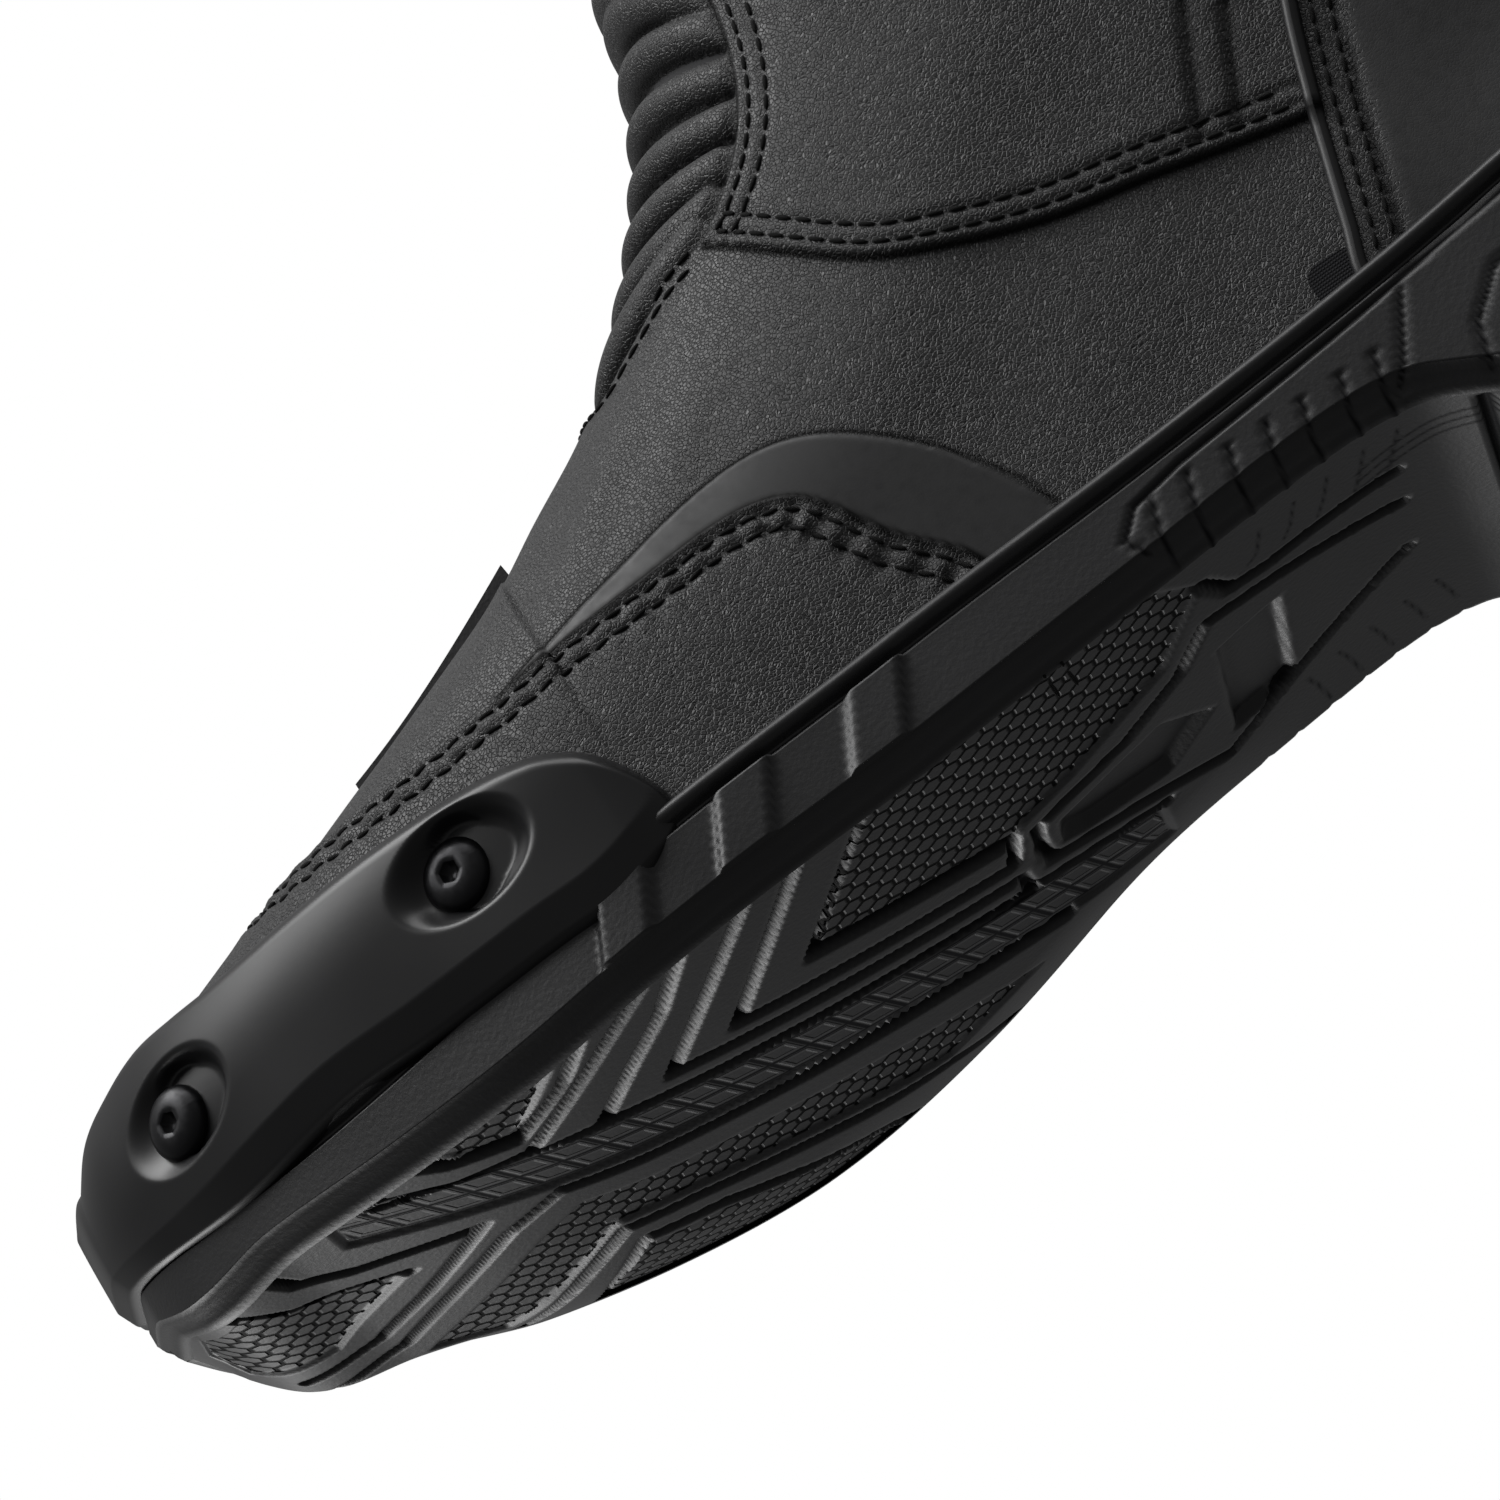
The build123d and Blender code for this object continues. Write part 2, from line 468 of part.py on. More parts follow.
def build():
    """Every sub-part, by node name."""
    depth_foam, depth_lining = LEATHER + PADDING, LEATHER + PADDING + LINING
    skin = {}
    offsets = (SLIDER_THICKNESS, OVERLAY, PAD_THICKNESS, COLLAR_BULGE, 2 * PATCH, PATCH + 0.05, PATCH, 0, -LEATHER, -LEATHER - ZIP_TAPE_THICKNESS,
               -depth_foam, -depth_lining)
    for d in offsets:
        skin[d] = surface(d)
    low, top = above_sole(), block(-FAR, FAR, -FAR, FAR, -FAR, BOOT_HEIGHT)
    inside = {d: skin[d] & low & top for d in skin}

    def layer(outer, inner, *regions):
        """The skin between two surfaces, within every region."""
        solid, core = inside[outer], inside[inner]
        for region in regions:
            solid = solid & region
        skin_part = solid - core
        if skin_part.volume < solid.volume / 2:
            return skin_part
        # the whole core left the piece filled, so only the core's own share of the regions is taken away
        for region in regions:
            core = core & region
        return solid - core

    def leather(*regions):
        return layer(0, -LEATHER, *regions)

    def foam(*regions):
        return layer(-LEATHER, -depth_foam, *regions)

    def lining(*regions):
        return layer(-depth_foam, -depth_lining, *regions)

    parts = {}

    # sole unit, board and footbed
    parts["outsole"], parts["midsole"], parts["shank"] = sole_unit()
    cavity = inside[-depth_lining]
    lift = BOARD_THICKNESS + FOOTBED_THICKNESS
    parts["insole_board"] = biggest(cavity - above_sole(BOARD_THICKNESS))
    parts["footbed"] = biggest((cavity & above_sole(BOARD_THICKNESS)) - above_sole(lift))

    # toe slider with its screws and inserts
    slider_outline = prism(line(*along([
        (304, 44), (292, 46.5), (279, 47), (265, 42.8), (244, 40), (225, 36.7), (214, 33.6), (205.5, 27), (201, 17.5),
        (204, 12.6), (214, 9.7), (231, 11), (250, 13.6), (276, 15), (290, 18.6), (304, 24)])),
        straight((304 * LONG, 24), (304 * LONG, 44)))
    slider_side = block(PUFF_BACK - 30, AHEAD, -14 * WIDE, FAR, -FAR, FAR)
    slider = (skin[SLIDER_THICKNESS] & slider_outline & slider_side) - skin[0]
    slider = slider - (upright(plan_outline(0)) & sole_profile(-0.01))
    seat = SLIDER_THICKNESS - 3.0
    screws, inserts = [], []
    for place in slider_screw_places():
        screw, insert, room, bore = screw_set(place, seat)
        screws.append(screw)
        inserts.append(insert)
        slider = slider - room - bore - insert
    parts["toe_slider"] = biggest(slider)
    parts["slider_screws"] = Compound(screws)
    parts["slider_inserts"] = Compound(inserts)
    hardware = screws + inserts

    # outer leathers
    parts["toe_cap"] = biggest(leather(toe_region())) - hardware
    parts["accent_band"] = leather(band_region())
    parts["vamp"] = biggest(leather(vamp_region()))
    parts["heel_counter"] = biggest(leather(counter_region()))
    parts["quarter_lateral"] = biggest(leather(quarter_region("lateral")))
    parts["quarter_medial"] = biggest(leather(quarter_region("medial")))
    parts["front_flex_panel"] = biggest(leather(front_flex_region()))
    parts["rear_flex_panel"] = biggest(leather(rear_flex_region()))
    slot_half = ZIP_SLOT / 2
    zip_x = ZIP_X * LONG
    under_collar = block(-FAR, FAR, -FAR, FAR, -FAR, COLLAR_BOTTOM * HIGH)
    parts["shaft_lateral"] = biggest(leather(shaft_region("lateral", CUFF_LATERAL), under_collar))
    medial_front = block(zip_x + slot_half, FAR, -FAR, FAR, -FAR, COLLAR_BOTTOM * HIGH)
    medial_rear = block(-FAR, zip_x - slot_half, -FAR, FAR, -FAR, COLLAR_BOTTOM * HIGH)
    parts["shaft_medial_front"] = biggest(leather(shaft_region("medial", CUFF_MEDIAL), medial_front))
    parts["shaft_medial_rear"] = biggest(leather(shaft_region("medial", CUFF_MEDIAL), medial_rear))

    # layer between leather and lining
    foot = prism(line(*LINING_SEAM), straight(LINING_SEAM[-1], (AHEAD, 130), (AHEAD, LOW), (BEHIND, LOW), LINING_SEAM[0]))
    parts["toe_puff"] = biggest(foam(foot, block(PUFF_BACK, FAR, -FAR, FAR, -FAR, FAR))) - hardware
    parts["vamp_interlining"] = biggest(foam(foot, block(STIFFENER_FRONT, PUFF_BACK, -FAR, FAR, -FAR, FAR)))
    parts["heel_stiffener"] = biggest(foam(foot, block(-FAR, STIFFENER_FRONT, -FAR, FAR, -FAR, FAR)))
    zip_zone = block(zip_x - ZIP_TAPE / 2 - 2, zip_x + ZIP_TAPE / 2 + 2, -FAR, 0, ZIP_BOTTOM * HIGH - 4, FAR)
    behind_tape = -LEATHER - ZIP_TAPE_THICKNESS
    shaft = shaft_region("both", CUFF_LATERAL)
    parts["zip_gusset"] = biggest(layer(behind_tape, -depth_foam, zip_zone, shaft, under_collar))
    parts["shaft_padding"] = biggest(foam(shaft, under_collar) - zip_zone)
    parts["ankle_padding"] = biggest(foam(below_shaft_region() - zip_zone))

    # linings
    rear_foot = block(-FAR, LINING_SPLIT, -FAR, FAR, -FAR, FAR)
    parts["heel_lining"] = biggest(lining(foot, rear_foot))
    parts["vamp_lining"] = biggest(lining(foot) - rear_foot - hardware)
    parts["ankle_lining"] = biggest(lining(below_shaft_region()))
    parts["shaft_lining"] = biggest(lining(shaft))

    # plates and trim on the leather
    disc = Plane(origin=(ANKLE_X * LONG, 0, ANKLE_Z), x_dir=(1, 0, 0), z_dir=(0, -1, 0)).location
    disc_round = disc * column(ANKLE_DISC_DIAMETER / 2, -FAR / 2, 0)
    parts["ankle_disc"] = biggest(layer(OVERLAY, 0, disc_round))
    shin = line(*along([(131, 199), (137, 192), (150, 188), (175, 188)], LONG, HIGH))
    shin_top = straight(*along([(175, 188), (175, 256), (136, 256), (131, 250), (131, 199)], LONG, HIGH))
    parts["shin_plate"] = biggest(layer(OVERLAY, 0, prism(shin, shin_top)))
    pad_box = block(204 * LONG, 236 * LONG, -24 * WIDE, 15 * WIDE, 40, FAR)
    parts["gear_shift_pad"] = biggest(layer(PAD_THICKNESS, 0, pad_box))
    collar_band = block(-FAR, FAR, -FAR, FAR, COLLAR_BOTTOM * HIGH, FAR)
    slot = block(zip_x - slot_half, zip_x + slot_half, -FAR, 0, -FAR, FAR)
    parts["collar"] = biggest(layer(COLLAR_BULGE, -depth_foam, collar_band) - slot)
    strip = block(-FAR, 30 * LONG, -FAR, FAR, 196 * HIGH, 226 * HIGH)
    parts["reflective_strip"] = biggest(layer(PATCH, 0, strip))
    parts["pull_loop"] = pull_loop(skin[COLLAR_BULGE])

    # zip, standing in the slot of the medial side
    zip_low, zip_high = ZIP_BOTTOM * HIGH, ZIP_TOP * HIGH
    for name, x0, x1 in (("front", zip_x + 0.02, zip_x + ZIP_TAPE / 2), ("rear", zip_x - ZIP_TAPE / 2, zip_x - 0.02)):
        parts["zip_tape_" + name] = biggest(layer(-LEATHER, behind_tape, block(x0, x1, -FAR, 0, zip_low - 3, zip_high + 22)))
    half_chain = ZIP_CHAIN / 2
    for name, x0, x1 in (("front", zip_x + 0.02, zip_x + half_chain), ("rear", zip_x - half_chain, zip_x - 0.02)):
        parts["zip_chain_" + name] = biggest(leather(block(x0, x1, -FAR, 0, zip_low, zip_high)))
    parts["zip_bottom_stop"] = biggest(
        leather(block(zip_x - half_chain, zip_x + half_chain, -FAR, 0, zip_low - 3, zip_low)))
    parts["zip_slider"], parts["zip_pull"], pull_hinge = zip_slider_parts()

    # closure flap over the top of the zip
    flap_zone = block(FLAP_REAR * LONG, FLAP_FRONT * LONG, -FAR, 0, FLAP_BOTTOM * HIGH, FLAP_TOP * HIGH)
    parts["closure_flap"] = biggest(layer(OVERLAY, 2 * PATCH, flap_zone))
    patch_zone = block((FLAP_REAR + 3) * LONG, (FLAP_REAR + 20) * LONG, -FAR, 0, (FLAP_BOTTOM + 2) * HIGH,
                       (FLAP_TOP - 2) * HIGH)
    parts["loop_patch"] = biggest(layer(PATCH, 0, patch_zone))
    parts["hook_patch"] = biggest(layer(2 * PATCH, PATCH + 0.05, patch_zone))
    return parts, pull_hinge


if __name__ == "__main__":
    parts, pull_hinge = build()
    box = Compound([s for shape in parts.values() for s in shape.solids()]).bounding_box()
    shift = Location((-(box.min.X + box.max.X) / 2, -(box.min.Y + box.max.Y) / 2, -box.min.Z))
    for name, shape in parts.items():
        if not shape.is_valid:
            print("not valid:", name)
        export_step(shape.moved(shift), f"parts/{name}.step")
    move = shift.position
    print("size", box.size, "shift", move)
    print("ankle axis", ANKLE_X * LONG + move.X, ANKLE_Z + move.Z)
    print("zip pull axis", pull_hinge + move)
    print("zip direction", ZIP_PLANE.y_dir)
    print("flap axis", FLAP_FRONT * LONG + move.X)
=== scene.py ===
"""Looks of the left motorcycle touring boot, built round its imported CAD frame.

Lengths are millimetres in the boot's own drawing frame: x from the back of the heel to the toe, y to the
outer side, z up. place() takes them to the row frame in metres. The upper is one smooth surface, raised and
creased along its seams and then cut into its pieces; the sole is a side wall and a tread that share an edge.
"""
import math

import bmesh
import bpy
import numpy as np
from mathutils import Matrix, Vector


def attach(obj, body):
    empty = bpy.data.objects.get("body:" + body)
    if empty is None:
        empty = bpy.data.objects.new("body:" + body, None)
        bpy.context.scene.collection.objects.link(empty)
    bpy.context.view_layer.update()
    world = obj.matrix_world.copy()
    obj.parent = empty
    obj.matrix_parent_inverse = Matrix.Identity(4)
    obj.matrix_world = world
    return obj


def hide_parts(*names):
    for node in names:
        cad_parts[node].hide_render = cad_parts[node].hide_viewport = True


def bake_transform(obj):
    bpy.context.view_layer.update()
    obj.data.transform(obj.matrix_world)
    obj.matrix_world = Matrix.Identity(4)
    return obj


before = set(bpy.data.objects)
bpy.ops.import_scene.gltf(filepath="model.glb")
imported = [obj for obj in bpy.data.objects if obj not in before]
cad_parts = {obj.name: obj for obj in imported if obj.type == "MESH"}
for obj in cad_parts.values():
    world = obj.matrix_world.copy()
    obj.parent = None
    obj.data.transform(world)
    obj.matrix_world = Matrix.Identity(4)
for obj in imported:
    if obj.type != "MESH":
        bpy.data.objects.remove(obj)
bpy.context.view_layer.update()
MM = 0.001
ORIGIN = np.array([-148.881, -1.762, 0.0])
ZIP_X, ZIP_HALF_SLOT, ZIP_FOOT = 88.0, 7.0, 121.0
FAR, TINY = 1e9, 1e-12


def place(points):
    """Drawing millimetres to the row frame's metres."""
    return (np.asarray(points, float) + ORIGIN) * MM


# ---- smooth curves and the boot's surface ----
def smooth(points):
    """The smooth curve through the points, as a function of their first number."""
    xs, ys = (np.array(c, float) for c in zip(*points))
    ends = np.clip(np.arange(len(xs))[:, None] + [-1, 1], 0, len(xs) - 1)
    slopes = (ys[ends[:, 1]] - ys[ends[:, 0]]) / (xs[ends[:, 1]] - xs[ends[:, 0]])

    def value(x):
        x = np.clip(x, xs[0], xs[-1])
        i = np.clip(np.searchsorted(xs, x, side="left") - 1, 0, len(xs) - 2)
        h = xs[i + 1] - xs[i]
        t = (x - xs[i]) / h
        rise = ys[i] * (1 + 2 * t) * (1 - t) ** 2 + ys[i + 1] * t * t * (3 - 2 * t)
        return rise + slopes[i] * h * t * (1 - t) ** 2 + slopes[i + 1] * h * t * t * (t - 1)

    return value


def eased(t):
    """0 up to t = 0, 1 from t = 1, smooth between."""
    t = np.clip(t, 0, 1)
    return t * t * (3 - 2 * t)


LATERAL = [(0, 7), (6, 25), (22, 37.5), (50, 42.4), (90, 40.7), (130, 43.4), (170, 49.4), (205, 53.3),
           (235, 46.5), (262, 35.6), (282, 24.5), (295, 11.5), (300, -6)]
MEDIAL = [(0, -2), (6, -22.5), (22, -37.2), (50, -40.5), (85, -34.8), (115, -31.4), (150, -35), (185, -47.5),
          (215, -52.4), (240, -46.7), (265, -40.2), (284, -33.4), (296, -21), (300, -8)]
lateral_edge, medial_edge = smooth(LATERAL), smooth(MEDIAL)
sole_top = smooth([(-40, 34), (0, 34), (50, 33), (100, 28.4), (150, 23.1), (200, 17.2), (235, 15.6),
                   (255, 16.3), (275, 18.9), (290, 22.9), (300, 27), (330, 38)])
sole_bottom = smooth([(-12, 6), (2, 2.2), (12, 0.4), (20, 0), (78, 0), (88, 5.7), (98, 10.7), (115, 11),
                      (140, 8.1), (175, 3.4), (200, 1.0), (220, 0.3), (238, 0.6), (255, 2.7), (275, 6.6),
                      (290, 8.9), (300, 17.2)])
RIDGE = [(296.5, 37), (291, 43), (285, 46.5), (278, 49.5), (261, 54.5), (235, 62), (213.5, 70.5), (191, 84),
         (174, 98.5), (162, 114), (153.5, 131), (149.5, 150)]
ridge_height = smooth(sorted(RIDGE[:9]))
PIVOT = np.array([205.0, 150.0])
fan = [math.degrees(math.atan2(PIVOT[0] - x, PIVOT[1] - z)) for x, z in RIDGE if x < 204]
ridge_reach = smooth([(0, PIVOT[1] - float(ridge_height(PIVOT[0])))] + [
    (a, math.dist(PIVOT, p)) for a, p in zip(fan, [r for r in RIDGE if r[0] < 204])])
shaft_front = smooth([(150, 149.5), (175, 147), (200, 147), (225, 149), (300, 156)])
shaft_back = smooth([(-70, 3.5), (45, 3.5), (60, 3), (90, 8), (120, 20), (150, 26), (200, 20), (240, 13),
                     (300, 7)])
shaft_lateral_wall = smooth([(100, 41), (150, 42), (200, 43.5), (300, 48)])
shaft_medial_wall = smooth([(100, -38), (300, -46)])
ROUND = 2.3
INSET = 3.5


def wall(x, z, side, d):
    """The boot's widest y at (x, z) before its ridge and heel close in, moved out by d."""
    x = np.where(x > 150, 150 + (x - 150) * 150 / (150 - INSET + d), x)
    x = np.maximum(x, 50)
    edge = lateral_edge(x) if side > 0 else medial_edge(x)
    low = edge + side * (d - INSET) * eased((300 - x) / 40)
    high = (shaft_lateral_wall(z) if side > 0 else shaft_medial_wall(z)) + side * d
    return low + (high - low) * eased((z - 40) / 80)


def surface_y(x, z, side, d=0.0):
    """The boot's side at (x, z), moved out by d."""
    x, z = np.asarray(x, float), np.asarray(z, float)
    angle = np.degrees(np.arctan2(PIVOT[0] - x, PIVOT[1] - z))
    gone = np.hypot(PIVOT[0] - x, PIVOT[1] - z)
    foot = x >= PIVOT[0]
    shaft = z >= PIVOT[1]
    to_front = np.where(shaft, shaft_front(z) - x, gone - ridge_reach(angle))
    to_ridge = np.where(foot, ridge_height(x) - z, to_front) + d
    dome = np.where(foot, np.maximum(ridge_height(x) - 26, 8), 53 + 8.5 * np.clip(angle, 0, 90) / 90)
    dome = np.where(shaft, (shaft_front(z) - shaft_back(z)) / 2, dome) + d
    r = np.clip(1 - to_ridge / dome, 0, 1)
    closing = (1 - r ** ROUND) ** (1 / ROUND)
    reach = 50 + 0.1 * np.clip(np.minimum(z, 160) - 45, 0, None)
    behind = np.clip((shaft_back(z) - d + reach - x) / reach, 0, 1)
    heel = np.maximum((1 - behind ** ROUND) ** (1 / ROUND), 0.07)
    middle = (wall(x, z, 1, d) + wall(x, z, -1, d)) / 2 - 1
    return middle + (wall(x, z, side, d) - middle) * closing * heel


# ---- mesh helpers ----
def deselect():
    """Nothing stays selected."""
    bpy.ops.object.select_all(action="DESELECT")


def finish_mesh(obj, name, material=None):
    """Names the object and its mesh, and gives it its one material."""
    obj.name = name
    obj.data.name = name
    if material is not None:
        obj.data.materials.clear()
        obj.data.materials.append(material)
    return obj


def grid_piece(name, points, material, attributes=None):
    """A grid of quads through points[row, column] in drawing millimetres."""
    rows, columns = points.shape[:2]
    deselect()
    bpy.ops.mesh.primitive_grid_add(x_subdivisions=columns - 1, y_subdivisions=rows - 1, size=1)
    obj = bpy.context.object
    obj.data.vertices.foreach_set("co", place(points.reshape(-1, 3)).astype(np.float32).ravel())
    for key, values in (attributes or {}).items():
        layer = obj.data.attributes.new(key, "FLOAT", "POINT")
        layer.data.foreach_set("value", np.asarray(values, np.float32).ravel())
    obj.data.shade_smooth()
    obj.data.update()
    return finish_mesh(obj, name, material)


def keep_faces(obj, keep):
    """Removes the grid faces that keep is false for, and the points that no face uses."""
    bm = bmesh.new()
    bm.from_mesh(obj.data)
    bm.faces.ensure_lookup_table()
    gone = [f for f, k in zip(bm.faces, keep) if not k]
    bmesh.ops.delete(bm, geom=gone, context="FACES")
    bm.to_mesh(obj.data)
    bm.free()


def face_centres(obj):
    """The middles of the faces, in drawing millimetres."""
    centres = np.zeros(len(obj.data.polygons) * 3, np.float32)
    obj.data.polygons.foreach_get("center", centres)
    return centres.reshape(-1, 3) / MM - ORIGIN


def normals_of(points):
    """Unit normals of a grid of points."""
    across = np.gradient(points, axis=1)
    down = np.gradient(points, axis=0)
    n = np.cross(across, down)
    size = np.linalg.norm(n, axis=2, keepdims=True)
    return n / np.maximum(size, 1e-9)


def dense(points, step=1.5):
    """The smooth curve through side-view or plan points, as closely spaced points."""
    p = np.array(points, float)
    run = np.concatenate([[0], np.cumsum(np.linalg.norm(np.diff(p, axis=0), axis=1))])
    at = np.linspace(0, run[-1], max(int(run[-1] / step), 2) + 1)
    return np.stack([smooth(list(zip(run, p[:, k])))(at) for k in (0, 1)], 1)


def distance(x, y, line):
    """Distance from (x, y) to a broken line."""
    best = np.full(x.shape, FAR)
    for (ax, ay), (bx, by) in zip(line[:-1], line[1:]):
        dx, dy = bx - ax, by - ay
        t = np.clip(((x - ax) * dx + (y - ay) * dy) / (dx * dx + dy * dy + TINY), 0, 1)
        best = np.minimum(best, np.hypot(x - ax - t * dx, y - ay - t * dy))
    return best


def inside(x, y, outline):
    """Whether (x, y) lies inside a closed outline."""
    hit = np.zeros(x.shape, bool)
    for (ax, ay), (bx, by) in zip(outline, outline[1:] + outline[:1]):
        crosses = (ay > y) != (by > y)
        at = ax + (y - ay) * (bx - ax) / (by - ay + TINY)
        hit ^= crosses & (x < at)
    return hit


def outline_gap(x, y, outline):
    """Signed distance to a closed outline, positive inside it."""
    gap = distance(x, y, outline + outline[:1])
    return np.where(inside(x, y, outline), gap, -gap)


# ---- materials ----
def linear(code):
    """An sRGB hex colour as linear RGBA."""
    parts = [int(code[i:i + 2], 16) / 255 for i in (0, 2, 4)]
    return tuple(c / 12.92 if c <= 0.04045 else ((c + 0.055) / 1.055) ** 2.4 for c in parts) + (1.0,)


def node(tree, kind, inputs=None, **settings):
    """Adds a node; an input is a constant, or (node, socket) to link from."""
    made = tree.nodes.new(kind)
    for key, value in settings.items():
        setattr(made, key, value)
    for key, value in (inputs or {}).items():
        if isinstance(value, tuple) and isinstance(value[0], bpy.types.Node):
            tree.links.new(value[0].outputs[value[1]], made.inputs[key])
        else:
            made.inputs[key].default_value = value
    return made


def new_material(name):
    """An empty material and its node tree."""
    material = bpy.data.materials.new(name)
    material.use_nodes = True
    tree = material.node_tree
    tree.nodes.clear()
    return material, tree


def close(tree, colour, roughness, normal=None, metallic=0.0, specular=0.4):
    """Ends a material with its shader and output."""
    inputs = {"Base Color": colour, "Roughness": roughness, "Metallic": metallic,
              "Specular IOR Level": specular}
    if normal is not None:
        inputs["Normal"] = normal
    shader = node(tree, "ShaderNodeBsdfPrincipled", inputs)
    node(tree, "ShaderNodeOutputMaterial", {"Surface": (shader, 0)})


def mixed(tree, factor, a, b):
    """Colour a, mixed towards b by factor."""
    return (node(tree, "ShaderNodeMix", {"Factor": factor, 6: a, 7: b}, data_type="RGBA"), 2)


def sum_of(tree, operation, a, b):
    """The result of a maths operation on two values."""
    return (node(tree, "ShaderNodeMath", {0: a, 1: b}, operation=operation), 0)


def spread(tree, noise, low, high):
    """A noise texture's middle range taken to low..high."""
    return node(tree, "ShaderNodeMapRange", {0: noise, 1: 0.3, 2: 0.7, 3: low, 4: high})


def leather_material(name, base, light, roughness):
    """Grained leather: cell grain and fine creases, broken colour, smooth where smooth_part is 1; painted
    shade darkens it and lowers its sheen at seam steps, pressed lines and rib hollows.
    """
    material, tree = new_material(name)
    place_node = node(tree, "ShaderNodeTexCoord")
    at = (place_node, "Object")
    grain = node(tree, "ShaderNodeTexVoronoi", {"Vector": at, "Scale": 1750.0}, feature="DISTANCE_TO_EDGE")
    warp = node(tree, "ShaderNodeTexNoise", {"Vector": at, "Scale": 620.0, "Detail": 5.0})
    blotch = node(tree, "ShaderNodeTexNoise", {"Vector": at, "Scale": 38.0, "Detail": 3.0})
    grain_cut = node(tree, "ShaderNodeMapRange", {0: (grain, 0), 1: 0.0, 2: 0.16})
    height = sum_of(tree, "ADD", (grain_cut, 0), sum_of(tree, "MULTIPLY", (warp, 0), 1.6))
    smooth_part = node(tree, "ShaderNodeAttribute", attribute_name="smooth_part")
    strength = node(tree, "ShaderNodeMapRange", {0: (smooth_part, "Fac"), 1: 0.0, 2: 1.0, 3: 0.6, 4: 0.02})
    bump = node(tree, "ShaderNodeBump", {"Strength": (strength, 0), "Distance": 0.0002, "Height": height})
    tone = mixed(tree, (blotch, 0), linear(base), linear(light))
    # painted shade: near black, with little sheen, at seam steps, pressed lines and between the instep ribs
    crease = node(tree, "ShaderNodeAttribute", attribute_name="crease")
    tone = mixed(tree, (crease, "Fac"), tone, linear("060606"))
    sheen = node(tree, "ShaderNodeMapRange", {0: (crease, "Fac"), 1: 0.0, 2: 1.0, 3: 0.45, 4: 0.05})
    rough = spread(tree, (warp, 0), roughness - 0.06, roughness + 0.08)
    close(tree, tone, (rough, 0), (bump, 0), specular=(sheen, 0))
    return material


def rubber_material(name, base, roughness=0.55, speckle=0.25):
    """Moulded rubber or plastic with a faint sparked texture."""
    material, tree = new_material(name)
    at = (node(tree, "ShaderNodeTexCoord"), "Object")
    fine = node(tree, "ShaderNodeTexNoise", {"Vector": at, "Scale": 1500.0, "Detail": 3.0})
    broad = node(tree, "ShaderNodeTexNoise", {"Vector": at, "Scale": 30.0, "Detail": 2.0})
    bump = node(tree, "ShaderNodeBump", {"Strength": speckle, "Distance": 0.0001, "Height": (fine, 0)})
    light = tuple(min(c * 1.35, 1) for c in linear(base)[:3]) + (1.0,)
    tone = mixed(tree, (broad, 0), linear(base), light)
    rough = spread(tree, (broad, 0), roughness - 0.05, roughness + 0.05)
    close(tree, tone, (rough, 0), (bump, 0), specular=0.35)
    return material


def eased_range(tree, value, low, high):
    """0 below low, 1 above high, eased between; low may be above high."""
    return (node(tree, "ShaderNodeMapRange", {0: value, 1: low, 2: high}, interpolation_type="SMOOTHSTEP"), 0)


